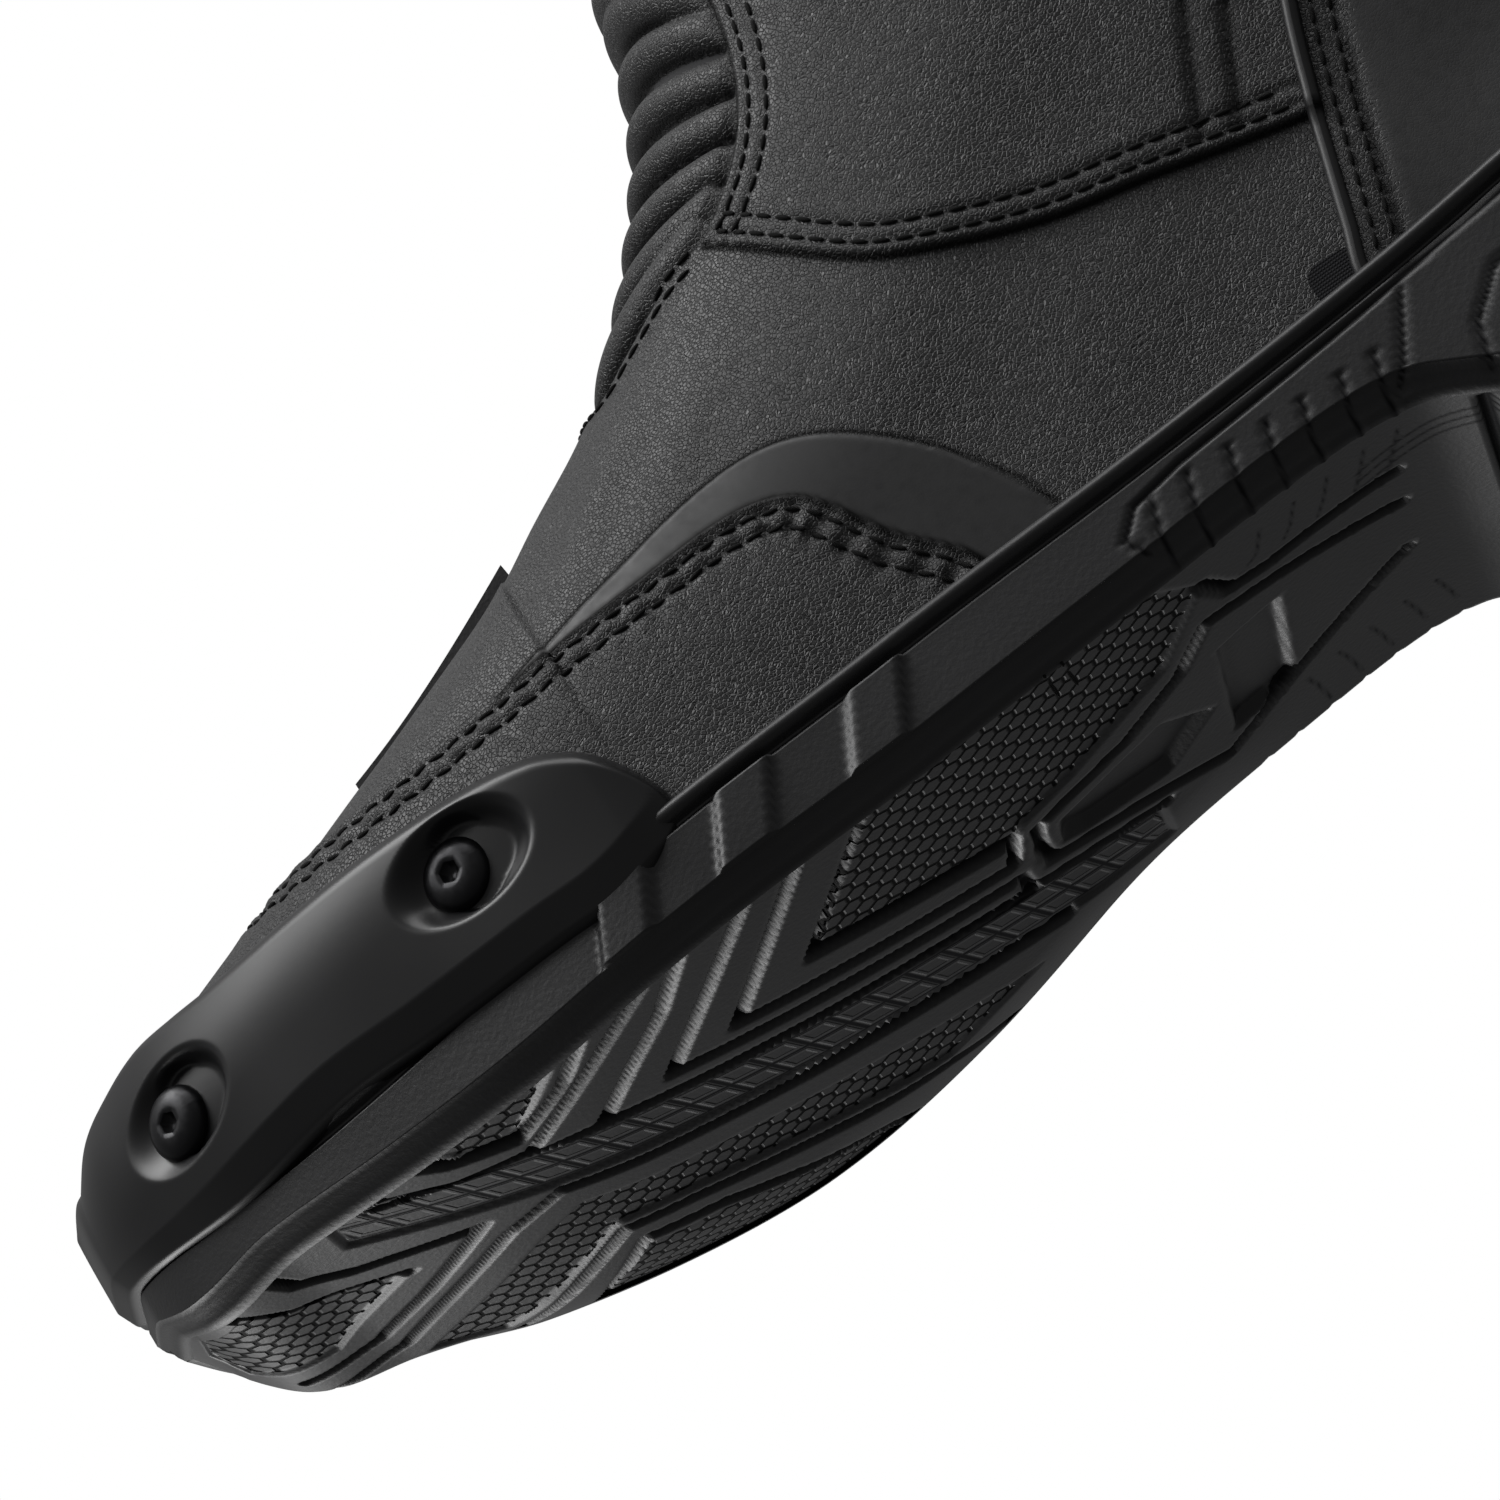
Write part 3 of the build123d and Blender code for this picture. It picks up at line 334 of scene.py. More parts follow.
def tread_material():
    """Sole rubber, with the honeycomb and the rows of small diamonds moulded into it; painted shade darkens
    the honeycomb's grooves, a painted highlight lightens the diamonds' raised frames, and the sheen is
    lowered in grooves and recesses as painted shade.
    """
    material, tree = new_material("tread_rubber")
    at = (node(tree, "ShaderNodeTexCoord"), "Object")
    fine = node(tree, "ShaderNodeTexNoise", {"Vector": at, "Scale": 1400.0, "Detail": 3.0})
    broad = node(tree, "ShaderNodeTexNoise", {"Vector": at, "Scale": 25.0, "Detail": 2.0})
    cells, band, across = (node(tree, "ShaderNodeAttribute", attribute_name=n)
                           for n in ("cells", "in_band", "band_across"))
    # honeycomb of 3 mm cells: the nearer of two staggered grids of centres
    scaled = node(tree, "ShaderNodeVectorMath", {0: at, 1: (333.3, 333.3, 0)}, operation="MULTIPLY")
    moved = node(tree, "ShaderNodeVectorMath", {0: (scaled, 0), 1: (0.5, 0.866, 0)}, operation="ADD")
    grids = []
    for source in (scaled, moved):
        cell = {0: (source, 0), 1: (0.5, 0.866, 1), 2: (-0.5, -0.866, -1)}
        grids.append(node(tree, "ShaderNodeVectorMath", cell, operation="WRAP"))
    sizes = [node(tree, "ShaderNodeVectorMath", {0: (g, 0)}, operation="LENGTH") for g in grids]
    lengths = {0: (sizes[0], "Value"), 1: (sizes[1], "Value")}
    nearer = node(tree, "ShaderNodeMath", lengths, operation="LESS_THAN")
    choice = node(tree, "ShaderNodeMix", {"Factor": (nearer, 0)}, data_type="VECTOR")
    tree.links.new(grids[1].outputs[0], choice.inputs[4])
    tree.links.new(grids[0].outputs[0], choice.inputs[5])
    part = node(tree, "ShaderNodeSeparateXYZ", {0: (choice, 1)})
    sizes = [(node(tree, "ShaderNodeMath", {0: (part, k)}, operation="ABSOLUTE"), 0) for k in (0, 1)]
    halves = [sum_of(tree, "MULTIPLY", size, share) for size, share in zip(sizes, (0.5, 0.866))]
    slant = sum_of(tree, "ADD", *halves)
    rim = eased_range(tree, sum_of(tree, "MAXIMUM", sizes[0], slant), 0.36, 0.45)
    inside_cells = eased_range(tree, (cells, "Fac"), 0.2, 0.6)
    honey = sum_of(tree, "MULTIPLY", rim, inside_cells)
    # two rows of small slanted frames along the band
    spot = node(tree, "ShaderNodeSeparateXYZ", {0: at})
    lean = sum_of(tree, "MULTIPLY", (across, "Fac"), -0.35)
    step = sum_of(tree, "ADD", sum_of(tree, "MULTIPLY", (spot, 0), 1000.0), lean)
    step = sum_of(tree, "MULTIPLY", sum_of(tree, "SUBTRACT", step, 117.2), 0.1767)
    step = (node(tree, "ShaderNodeMath", {0: step, 1: 0.5, 2: -0.5}, operation="WRAP"), 0)
    row = sum_of(tree, "MULTIPLY", (across, "Fac"), 0.2)
    row = (node(tree, "ShaderNodeMath", {0: row, 1: 0.5, 2: -0.5}, operation="WRAP"), 0)
    both = [(node(tree, "ShaderNodeMath", {0: k}, operation="ABSOLUTE"), 0) for k in (step, row)]
    edge = sum_of(tree, "MAXIMUM", both[0], both[1])
    hole, rim_end = eased_range(tree, edge, 0.24, 0.29), eased_range(tree, edge, 0.36, 0.41)
    frame_ring = sum_of(tree, "SUBTRACT", hole, rim_end)
    on_band = eased_range(tree, (band, "Fac"), 0.6, 1.1)
    frames = sum_of(tree, "MULTIPLY", frame_ring, on_band)
    height = sum_of(tree, "SUBTRACT", sum_of(tree, "MULTIPLY", (fine, 0), 0.06), honey)
    height = sum_of(tree, "ADD", height, frames)
    bump = node(tree, "ShaderNodeBump", {"Strength": 0.9, "Distance": 0.0009, "Height": height})
    tone = mixed(tree, (broad, 0), linear("121213"), linear("18181a"))
    # painted shade in the honeycomb's grooves
    tone = mixed(tree, sum_of(tree, "MULTIPLY", honey, 0.8), tone, linear("040404"))
    # painted highlight on the diamonds' raised frames
    tone = mixed(tree, sum_of(tree, "MULTIPLY", frames, 0.35), tone, linear("3a3a3c"))
    rough = spread(tree, (broad, 0), 0.38, 0.52)
    # painted shade: the sheen drops in the grooves, the fine lines, the honeycomb and between the frames
    groove = node(tree, "ShaderNodeAttribute", attribute_name="groove")
    deep = eased_range(tree, (groove, "Fac"), 1.25, 0.5)
    gaps = sum_of(tree, "MULTIPLY", on_band, eased_range(tree, edge, 0.4, 0.46))
    recess_shade = sum_of(tree, "MAXIMUM", sum_of(tree, "MAXIMUM", honey, deep), gaps)
    sheen = node(tree, "ShaderNodeMapRange", {0: recess_shade, 1: 0.0, 2: 1.0, 3: 0.5, 4: 0.03})
    close(tree, tone, (rough, 0), (bump, 0), specular=(sheen, 0))
    return material


def metal_material(name, base, roughness=0.35):
    """Metal with a faintly uneven finish."""
    material, tree = new_material(name)
    at = (node(tree, "ShaderNodeTexCoord"), "Object")
    fine = node(tree, "ShaderNodeTexNoise", {"Vector": at, "Scale": 900.0, "Detail": 4.0})
    rough = spread(tree, (fine, 0), roughness - 0.08, roughness + 0.1)
    close(tree, linear(base), (rough, 0), metallic=0.7, specular=0.5)
    return material


def cloth_material(name, base, scale=700.0):
    """Woven or knitted cloth: two crossed waves."""
    material, tree = new_material(name)
    at = (node(tree, "ShaderNodeTexCoord"), "Object")
    wave = {"Vector": at, "Scale": scale, "Distortion": 1.0}
    warp, weft = (node(tree, "ShaderNodeTexWave", wave, bands_direction=way) for way in "ZX")
    height = sum_of(tree, "MULTIPLY", (warp, 1), (weft, 1))
    bump = node(tree, "ShaderNodeBump", {"Strength": 0.6, "Distance": 0.0003, "Height": height})
    light = tuple(min(c * 1.8, 1) for c in linear(base)[:3]) + (1.0,)
    tone = mixed(tree, height, linear(base), light)
    close(tree, tone, 0.9, (bump, 0), specular=0.2)
    return material


LEATHER = leather_material("grained_leather", "141415", "19191a", 0.5)
TREAD = tread_material()
SLIDER_PLASTIC = rubber_material("satin_slider", "131314", 0.36, 0.06)
PLASTIC = rubber_material("moulded_plastic", "161617", 0.42, 0.15)
PAD_RUBBER = rubber_material("ribbed_rubber", "141415", 0.75, 0.9)
STEEL = metal_material("blackened_steel", "1c1c1e", 0.36)
BRASS = metal_material("insert_brass", "b98e45", 0.4)
THREAD = cloth_material("sewing_thread", "101010", 1500.0)
CLOTH = cloth_material("lining_cloth", "1a1a1c")
WEBBING = cloth_material("webbing", "121213", 500.0)
BOARD = cloth_material("fibre_board", "6f6250", 300.0)
FOAM = rubber_material("foam", "3a3a3b", 0.9, 0.8)
REFLECTIVE = cloth_material("reflective_cloth", "6a6a6c", 1800.0)

# ---- seams in side view, x and z ----
CORNER = [(150, -20), (153, 23.2), (160.7, 34), (167.5, 44.8), (175.5, 47.6), (190, 46.6), (212, 45.6)]
TOE = [(212, 45.6), (226, 46.9), (242, 50), (256, 56), (262, 66), (264, 90)]
BAND = [(139, -20), (141.5, 24.6), (147.6, 38.4), (155.6, 47.4), (164, 53), (174, 54.4), (190, 51),
        (212, 45.6)]
INSTEP = [(195, 120), (188, 92), (181.5, 83), (175, 85.2), (166, 88.2), (158, 88.4)]
VAMP = [(158, 88.4), (150.7, 79.1), (142, 70), (132.6, 65), (120, 60.5), (106.6, 57.7), (85, 52.4)]
FLEX = [(158, 88.4), (150, 94), (144.5, 100.6), (140.5, 109.5), (138.2, 119.2), (136.8, 136), (137, 163)]
COUNTER_LOW = [(95.5, -20), (93.3, 28.3), (90.8, 35.8), (85, 52.4)]
COUNTER_MID = [(85, 52.4), (79.5, 66), (72, 80), (62, 91), (50, 97)]
COUNTER_BACK = [(50, 97), (30, 101), (-20, 103)]
REAR = [(50, 97), (46, 118), (44, 143)]
CUFF_REAR = [(-20, 156), (20, 152), (44, 143)]
CUFF_LATERAL = [(44, 143), (60, 137.5), (82, 136), (104, 138), (122, 148), (137, 163)]
CUFF_MEDIAL = [(44, 143), (56, 126), (74, 118.5), (104, 119), (122, 140), (137, 163)]
CUFF_FRONT = [(137, 163), (150, 169), (210, 172)]
CURVES = {key: [tuple(p) for p in dense(value)] for key, value in {
    "corner": CORNER, "toe": TOE, "band": BAND, "instep": INSTEP, "vamp": VAMP, "flex": FLEX,
    "low": COUNTER_LOW, "mid": COUNTER_MID, "back": COUNTER_BACK, "rear": REAR, "cuff_rear": CUFF_REAR,
    "cuff_lateral": CUFF_LATERAL, "cuff_medial": CUFF_MEDIAL, "cuff_front": CUFF_FRONT}.items()}


def loop(*names, corners=()):
    """A closed outline from seam curves, a leading minus sign running one backwards."""
    line = []
    for name in names:
        line += CURVES[name[1:]][::-1] if name.startswith("-") else CURVES[name]
    return line + list(corners)


REGIONS = {
    "toe_cap": loop("corner", "toe", corners=[(420, 90), (420, -60)]),
    "accent_band": loop("band", "-corner"),
    "heel_counter": loop("low", "mid", "back", corners=[(-60, 103), (-60, -20)]),
    "quarter_lateral": loop("vamp", "mid", "rear", "cuff_lateral", "-flex"),
    "quarter_medial": loop("vamp", "mid", "rear", "cuff_medial", "-flex"),
    "front_flex_panel": loop("instep", "flex", "cuff_front"),
    "rear_flex_panel": loop("-back", "rear", "-cuff_rear"),
}
RIBS = [((137.4, 127), (155, 150)), ((138.2, 121), (152.5, 140)), ((139.5, 115.4), (156, 131)),
        ((143, 109), (159, 122)), ((146.3, 103), (163, 114)), ((150.6, 98), (168, 106.5)),
        ((154.8, 94), (174, 99)), ((158.7, 92), (181, 92))]


def along_line(x, y, line):
    """Distance from a broken line, and how far along it the nearest spot lies."""
    best = np.full(x.shape, FAR)
    run = np.zeros(x.shape)
    gone = 0.0
    for (ax, ay), (bx, by) in zip(line[:-1], line[1:]):
        dx, dy = bx - ax, by - ay
        length = math.hypot(dx, dy)
        t = np.clip(((x - ax) * dx + (y - ay) * dy) / (length * length + TINY), 0, 1)
        gap = np.hypot(x - ax - t * dx, y - ay - t * dy)
        closer = gap < best
        best, run = np.where(closer, gap, best), np.where(closer, gone + t * length, run)
        gone += length
    return best, run


def nearest(x, y, lines):
    """Distance to the nearest of several broken lines."""
    return np.minimum.reduce([along_line(x, y, line)[0] for line in lines])


def relief(x, z, side):
    """How far the finished leather stands off the drawing surface, with the painted shade at its seam steps,
    pressed lines and rib hollows, and its smooth parts.
    """
    x, z = np.asarray(x, float), np.asarray(z, float)
    lateral = side > 0
    height = np.zeros(x.shape)
    crease = np.zeros(x.shape)
    gaps = {name: outline_gap(x, z, outline) for name, outline in REGIONS.items()}
    quarter = np.where(lateral, gaps["quarter_lateral"], gaps["quarter_medial"])
    # painted shade in a narrow strip where each raised panel's edge steps down
    for name, rise in (("toe_cap", 1.1), ("accent_band", 0.5), ("heel_counter", 1.2)):
        height += rise * eased(gaps[name] / 1.4 + 0.5)
        crease = np.maximum(crease, eased(1 - np.abs(gaps[name] + 0.4) / 0.9))
    height += 1.0 * eased(quarter / 1.4 + 0.5)
    crease = np.maximum(crease, eased(1 - np.abs(quarter + 0.4) / 0.9))
    # stitching draws the leather down into a shallow channel, and puckers the toe cap's edge
    toe_line = CURVES["corner"][8:] + CURVES["toe"][:34]
    gap, run = along_line(x, z, toe_line)
    in_cap = gaps["toe_cap"] > 0
    for row in (1.7, 4.4):
        height -= 0.45 * np.exp(-((gap - row) / 0.8) ** 2) * in_cap
    height += 0.3 * np.cos(run * 2 * math.pi / 4.6) * np.exp(-((gap - 3.4) / 2.6) ** 2) * in_cap
    for line, region in ((CURVES["vamp"], quarter), (CURVES["flex"], quarter)):
        gap, run = along_line(x, z, line)
        for row in (1.7, 4.3):
            height -= 0.35 * np.exp(-((gap - row) / 0.7) ** 2) * (region > 0)
    # padded ribs across the instep
    ribs = np.zeros(x.shape)
    for start, end in RIBS:
        gap, _ = along_line(x, z, [start, end])
        ribs = np.maximum(ribs, np.sqrt(np.clip(1 - (gap / 3.1) ** 2, 0, 1)))
    flexing = eased(gaps["front_flex_panel"] / 2.5)
    height += (2.9 * ribs - 1.7) * flexing
    # painted shade in the hollows between the ribs
    crease = np.maximum(crease, 0.8 * flexing * (ribs > 0) * (1 - ribs) ** 2)
    # ribs round the back of the ankle
    flexing = eased(gaps["rear_flex_panel"] / 3.0)
    height += 1.5 * flexing * np.abs(np.sin((z - 100) * math.pi / 8.5)) ** 0.6
    # two lines pressed into the quarter, and the counter's moulded panel
    for line in ([(90.3, 75), (99.1, 57.8)], [(86.1, 71.5), (94, 56.3)]):
        gap, _ = along_line(x, z, line)
        height -= 0.7 * eased(1 - gap / 1.1) * lateral
        # painted shade in the pressed lines
        crease = np.maximum(crease, 0.5 * eased(1 - gap / 0.8) * lateral)
    gap, _ = along_line(x, z, [(75.3, 62.6), (77.8, 55.5), (80.3, 48.5), (83.2, 40), (86.9, 29)])
    height -= 0.5 * eased(1 - gap / 1.2)
    # the leather eases into soft, shallow folds where the toe bends
    folds = np.exp(-((x - 196) / 26) ** 2) * np.exp(-((z - 66) / 12) ** 2)
    height += 0.35 * folds * np.sin((x + 0.6 * z) * 0.42 + 0.8 * np.sin(z * 0.2))
    height += 0.25 * np.sin(x * 0.11 + 1.3) * np.sin(z * 0.17 + x * 0.05) * (gaps["accent_band"] < 0)
    panel = (gaps["heel_counter"] > 7) & lateral & (z < 66)
    sleek = np.maximum(eased(gaps["accent_band"] / 0.8 + 0.5), 0.9 * panel)
    return height, crease, sleek


def upper_grid():
    """Rows of points from toe to top, each from the inner keel over the ridge to the outer keel."""
    toe_to_instep = np.concatenate([np.linspace(299.3, 294, 10), np.linspace(293.4, 205.5, 130)])
    rows = [("foot", x) for x in toe_to_instep]
    rows += [("fan", a) for a in np.arange(0.0, 90.0, 0.3)]
    rows += [("shaft", z) for z in np.linspace(150, 266.5, 80)]
    spots = []
    for kind, value in rows:
        if kind == "foot":
            near, top = (value, float(sole_top(value)) - 3), (value, float(ridge_height(value)))
        elif kind == "fan":
            a = math.radians(value)
            way = np.array([-math.sin(a), -math.cos(a)])
            top = tuple(PIVOT + way * float(ridge_reach(value)))
            low, high = 20.0, 400.0
            for _ in range(30):
                half = (low + high) / 2
                x, z = PIVOT + way * half
                out = x < shaft_back(z) + 0.05 or z < sole_top(x) - 3
                low, high = (low, half) if out else (half, high)
            near = tuple(PIVOT + way * low)
        else:
            near, top = (float(shaft_back(value)) + 0.05, value), (float(shaft_front(value)), value)
        spots.append((near, top, kind))
    keel = np.array([s[0] for s in spots])
    ridge = np.array([s[1] for s in spots])
    length = np.linalg.norm(ridge - keel, axis=1)[:, None]
    grids = []
    for side, columns in ((-1, INNER_COLUMNS), (1, OUTER_COLUMNS)):
        t = np.linspace(0, 1, columns)
        # points crowd towards the ridge and, less, towards the keel
        share = t ** 2.2 * (1 - t) + (1 - (1 - t) ** 2.2) * t
        share = 0.3 * share + 0.7 * t ** 1.35
        share = share[None, :]
        x = ridge[:, :1] + (keel[:, :1] - ridge[:, :1]) * share
        z = ridge[:, 1:] + (keel[:, 1:] - ridge[:, 1:]) * share
        y = surface_y(x, z, side)
        grid = np.stack([x, y, z], 2)
        grids.append(grid[:, ::-1] if side < 0 else grid[:, 1:])
    return np.concatenate(grids, 1)


INNER_COLUMNS, OUTER_COLUMNS = 90, 300
UPPER = upper_grid()
upper_side = np.where(np.arange(UPPER.shape[1]) < INNER_COLUMNS, -1, 1)[None, :] * np.ones(UPPER.shape[:2])
outward = -normals_of(UPPER)
if outward[60, -40, 1] < 0:
    outward = -outward
# relief also gives the mask of painted shade at seam steps, pressed lines and rib hollows
relief_height, relief_crease_shade, relief_sleek = relief(UPPER[..., 0], UPPER[..., 2], upper_side)
FINISHED = UPPER + outward * relief_height[..., None]


def on_upper(x, z, side):
    """A spot on the finished leather, and its outward direction."""
    x, z = np.asarray(x, float), np.asarray(z, float)
    step = 0.6
    spot = np.stack([x, surface_y(x, z, side), z], -1)
    run, still = np.full(x.shape, 2 * step), np.zeros(x.shape)
    across = np.stack([run, surface_y(x + step, z, side) - surface_y(x - step, z, side), still], -1)
    up = np.stack([still, surface_y(x, z + step, side) - surface_y(x, z - step, side), run], -1)
    way = np.cross(up, across)
    way /= np.linalg.norm(way, axis=-1, keepdims=True)
    way = np.where((way[..., 1:2] * side) < 0, -way, way)
    rise, _, _ = relief(x, z, np.full(x.shape, side))
    return spot + way * rise[..., None], way


# ---- the upper, cut into its pieces ----
whole = grid_piece("upper_whole", FINISHED, LEATHER, {
    "crease": relief_crease_shade.ravel(), "smooth_part": relief_sleek.ravel()})
centres = face_centres(whole)
labels = np.full(len(centres), "vamp", object)
cx, cz = centres[:, 0], centres[:, 2]
shaft_part = np.zeros(len(cx), bool)
vertex_sides = upper_side.ravel() > 0
first = np.array([p.vertices[0] for p in whole.data.polygons])
face_side = np.where(vertex_sides[first], 1, -1)
for side, cuff in ((1, "cuff_lateral"), (-1, "cuff_medial")):
    outline = loop("cuff_rear", cuff, "cuff_front", corners=[(210, 400), (-60, 400), (-60, 156)])
    shaft_part |= inside(cx, cz, outline) & (face_side == side)
labels[shaft_part & (face_side > 0)] = "shaft_lateral"
labels[shaft_part & (face_side < 0) & (cx >= ZIP_X)] = "shaft_medial_front"
labels[shaft_part & (face_side < 0) & (cx < ZIP_X)] = "shaft_medial_rear"
for name in ("rear_flex_panel", "front_flex_panel", "quarter_lateral", "quarter_medial", "heel_counter",
             "accent_band", "toe_cap"):
    hit = inside(cx, cz, REGIONS[name]) & ~shaft_part
    if name.startswith("quarter"):
        hit &= face_side == (1 if name.endswith("lateral") else -1)
    labels[hit] = name
zip_gap = (face_side < 0) & (np.abs(cx - ZIP_X) < ZIP_HALF_SLOT) & (cz > ZIP_FOOT)
# the body each piece rides; None leaves it on no body, baked in place
PIECES = {"toe_cap": "foot", "accent_band": "foot", "vamp": "foot", "heel_counter": "foot",
          "quarter_lateral": None, "quarter_medial": None, "front_flex_panel": None, "rear_flex_panel": None,
          "shaft_lateral": "shaft", "shaft_medial_front": "shaft", "shaft_medial_rear": "shaft"}
for name, body in PIECES.items():
    deselect()
    whole.select_set(True)
    bpy.context.view_layer.objects.active = whole
    bpy.ops.object.duplicate()
    piece = bpy.context.object
    keep_faces(piece, (labels == name) & ~zip_gap)
    finish_mesh(piece, name + "_skin")
    if body:
        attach(piece, body)
    else:
        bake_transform(piece)
    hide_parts(name)
bpy.data.objects.remove(whole)

# ---- sole: side wall and tread ----
theta = np.linspace(0, math.pi, 640)
sole_x = 150 - 150 * np.cos(theta)
outline_x = np.concatenate([sole_x, sole_x[::-1][1:]])
outline_y = np.concatenate([lateral_edge(sole_x), medial_edge(sole_x[::-1][1:])])
outline = np.stack([outline_x, outline_y], 1)
tangent = np.gradient(outline, axis=0)
tangent /= np.maximum(np.linalg.norm(tangent, axis=1, keepdims=True), 1e-9)
plan_out = np.stack([-tangent[:, 1], tangent[:, 0]], 1)
plan_out *= np.sign((plan_out * (outline - [150, 0])).sum(1).mean())

# pairs of height and inset: the tread's edge over the tread, the lip at the feather line over the sole's top
EDGE = [(0.0, 3.2), (0.25, 2.2), (1.2, 1.6), (2.6, 1.1), (3.2, 0.35), (4.0, 0.1)]
LIP = [(-3.6, 0.1), (-3.3, 0.7), (-2.9, 1.2), (-2.5, 1.1), (-2.2, 0.2), (-1.7, -0.5), (-1.1, -0.75),
       (-0.5, -0.55), (0.0, 0.1), (0.1, 1.2), (-0.2, 4.0), (-1.0, 7.0)]


def wall_rows():
    """The side wall from tread edge to feather line: share of height, height over the tread, inset."""
    rows = [("low", h, i) for h, i in EDGE]
    rows += [("mid", t, 0.0) for t in np.linspace(0.0, 1.0, 34)]
    rows += [("top", h, i) for h, i in LIP]
    return rows


def inner_rise(x, share):
    """How far the tread rolls up towards its inner edge, share being 1 at that edge."""
    most = 2.4 + 2.2 * eased((x - 258) / 24)
    return most * eased((x - 118) / 45) * eased((301 - x) / 9) * np.clip((share - 0.66) / 0.34, 0, 1) ** 1.5


inner_half = np.arange(len(outline_x)) >= len(sole_x)
bottom_at, top_at = sole_bottom(outline_x) + inner_half * inner_rise(outline_x, 1.0), sole_top(outline_x)
wall_points = []
for kind, value, inset in wall_rows():
    if kind == "low":
        z = bottom_at + value
    elif kind == "mid":
        z = bottom_at + 4.0 + (top_at - 3.6 - bottom_at - 4.0) * value
    else:
        z = top_at + value
    reach = np.full(len(outline_x), -inset)
    if kind == "mid":
        # three slanted bars stand off the wall, low on each side
        for x0 in (215.0, 197.0, 178.0):
            slant = outline_x - x0 + 0.5 * (z - 6)
            flat = np.minimum(1 - np.abs(slant) / 4.4, (14.5 + bottom_at - z) / 4.4)
            reach += 1.3 * eased(flat * 4.5)
    spot = outline + plan_out * reach[:, None]
    wall_points.append(np.stack([spot[:, 0], spot[:, 1], z], 1))
wall_points = np.array(wall_points)
WALL_LINES = [
    [(136, 12), (137.5, 15), (134, 18.5), (126, 20.4), (110, 22.4), (97, 24), (80, 26.4), (40, 29), (-2, 30)],
    [(99, 12.5), (96.5, 15), (93, 20.6), (91, 23.8)],
    [(88, 8), (86, 14), (80, 19), (40, 22), (-2, 23)],
]
ARCH_RIBS = (101, 106, 111.7, 117, 122.5)
WALL_LINES += [[(x0, 9.5), (x0 - 0.8, 14), (x0 - 2.4, 18.6)] for x0 in (*ARCH_RIBS, 128.7, 134)]
wall_line = nearest(wall_points[..., 0], wall_points[..., 2], WALL_LINES)
wall_points[..., :2] -= plan_out[None] * (0.5 * eased(1.3 - wall_line / 0.55))[..., None]
nothing = np.full(wall_line.size, -9.0)
side_wall = grid_piece("sole_side_wall", wall_points, TREAD, {
    "cells": nothing, "band_across": nothing, "in_band": nothing, "groove": wall_line.ravel() + 0.55})

GROOVES = [
    [(241.7, 30), (233, 38), (226, 49.5), (220, 58)], [(241.7, 24.7), (216, 51), (208, 62)],
    [(232.5, 20.5), (225, 30.5), (218, 39), (207.5, 58)],
    [(221.7, 21.3), (197, 58)], [(211.3, 22.2), (189, 58)],
    [(198.7, 25), (183, 49), (178, 57)], [(232.5, 20.5), (170.3, -8.3)], [(221.7, 21.3), (170.8, -0.7)],
    [(211.3, 22.2), (170.8, 4.3)], [(198.7, 25), (169.2, 10.5)], [(169.2, 10.5), (170.8, 4.3)],
    [(170.8, -0.7), (170.5, -7.8)], [(241.7, 24.7), (252, 26.5), (260, 31.5), (265.8, 38.8)],
    [(241.7, 30), (250, 33), (255.8, 38.8), (262, 45)],
    [(253.3, 9.7), (270, 13.8), (276.7, 18), (279, 24), (282.5, 32)],
    [(265, 5.5), (280, 10.5), (286, 17), (289, 26)],
    [(253.3, 9.7), (265, -3.7), (275, -12.8), (286.7, -15.3)],
    [(168, -22), (231.7, 3), (242.5, 8.3), (251.7, 3), (261.7, -7), (273.3, -18.7), (280, -20.7), (290, -24)],
    [(149, -15), (200, 6.5), (236, 21.5), (262, 29)], [(240, -15.3), (230, -18.7), (191.7, -37), (180, -44)],
    [(240, -15.3), (251.7, -27), (262, -38)], [(239, -22), (228, -26), (205, -42), (198, -52)],
    [(239, -22), (246, -32), (252, -46)],
    [(103.8, 13.3), (134, 22.7), (140, 15.5), (150, 10.8), (165.8, 8.8), (166.7, 1.3), (166, -2.8),
     (153.3, -8.7), (138.3, -17), (105, -0.3)],
    [(132.5, 33), (129, 26), (123, 24), (103, 22.7)], [(90, -30), (90, 36)], [(84, -34), (84, 40)],
    [(14, -24), (40, -14), (72, -24)], [(12, -12), (40, -2), (76, -12)], [(10, 0), (40, 10), (76, 0)],
    [(12, 12), (40, 22), (76, 12)], [(16, 24), (42, 34), (74, 24)],
]
FINE_LINES = [[(x0, 34), (x0 + 1.5, 29), (x0 + 3, 23.5 + 0.2 * (x0 - 100))] for x0 in ARCH_RIBS]
FINE_LINES += [[(x0, -24 - 0.1 * (x0 - 100)), (x0 + 1, -19), (x0 + 2, -15)] for x0 in ARCH_RIBS]
FINE_LINES += [[(88, 30 + k), (98, 27 + k), (108, 24.5 + k)] for k in (0, 2.2, 4.4)]
HOLLOWS = [
    [(123.7, 13), (133.7, 13), (135.8, -11.5), (126, -11.5)],
    [(138.3, -0.7), (145.3, 6.7), (162.5, 5), (163.3, -0.3), (160, -2.5), (146.7, -7)],
]
HONEYCOMB = [
    [(229, 53), (240, 54), (256.7, 43), (255.8, 38.8), (242.5, 30), (230, 48)],
    [(198.7, 25), (169.2, 10.5), (167.5, 12.7), (158.3, 14.3), (141.7, 20), (132.5, 33), (140.8, 43.8),
     (160, 50), (176, 52), (183, 49)],
    [(265, 5.5), (280, 10.5), (285, 16.3), (292.5, 6.3), (294, -3.7), (291.7, -10.3), (280, -8.7)],
    [(241.7, 0.5), (249, -4.5), (258.3, -13.7), (271.7, -25.3), (262, -32), (251.7, -24), (240, -12.5),
     (230, -16), (191.7, -34), (175, -29.5), (201.7, -17), (233.3, -4)],
    [(239, -25), (246, -34), (250, -44), (236, -50), (210, -54), (202, -50), (206, -43), (228, -29)],
]

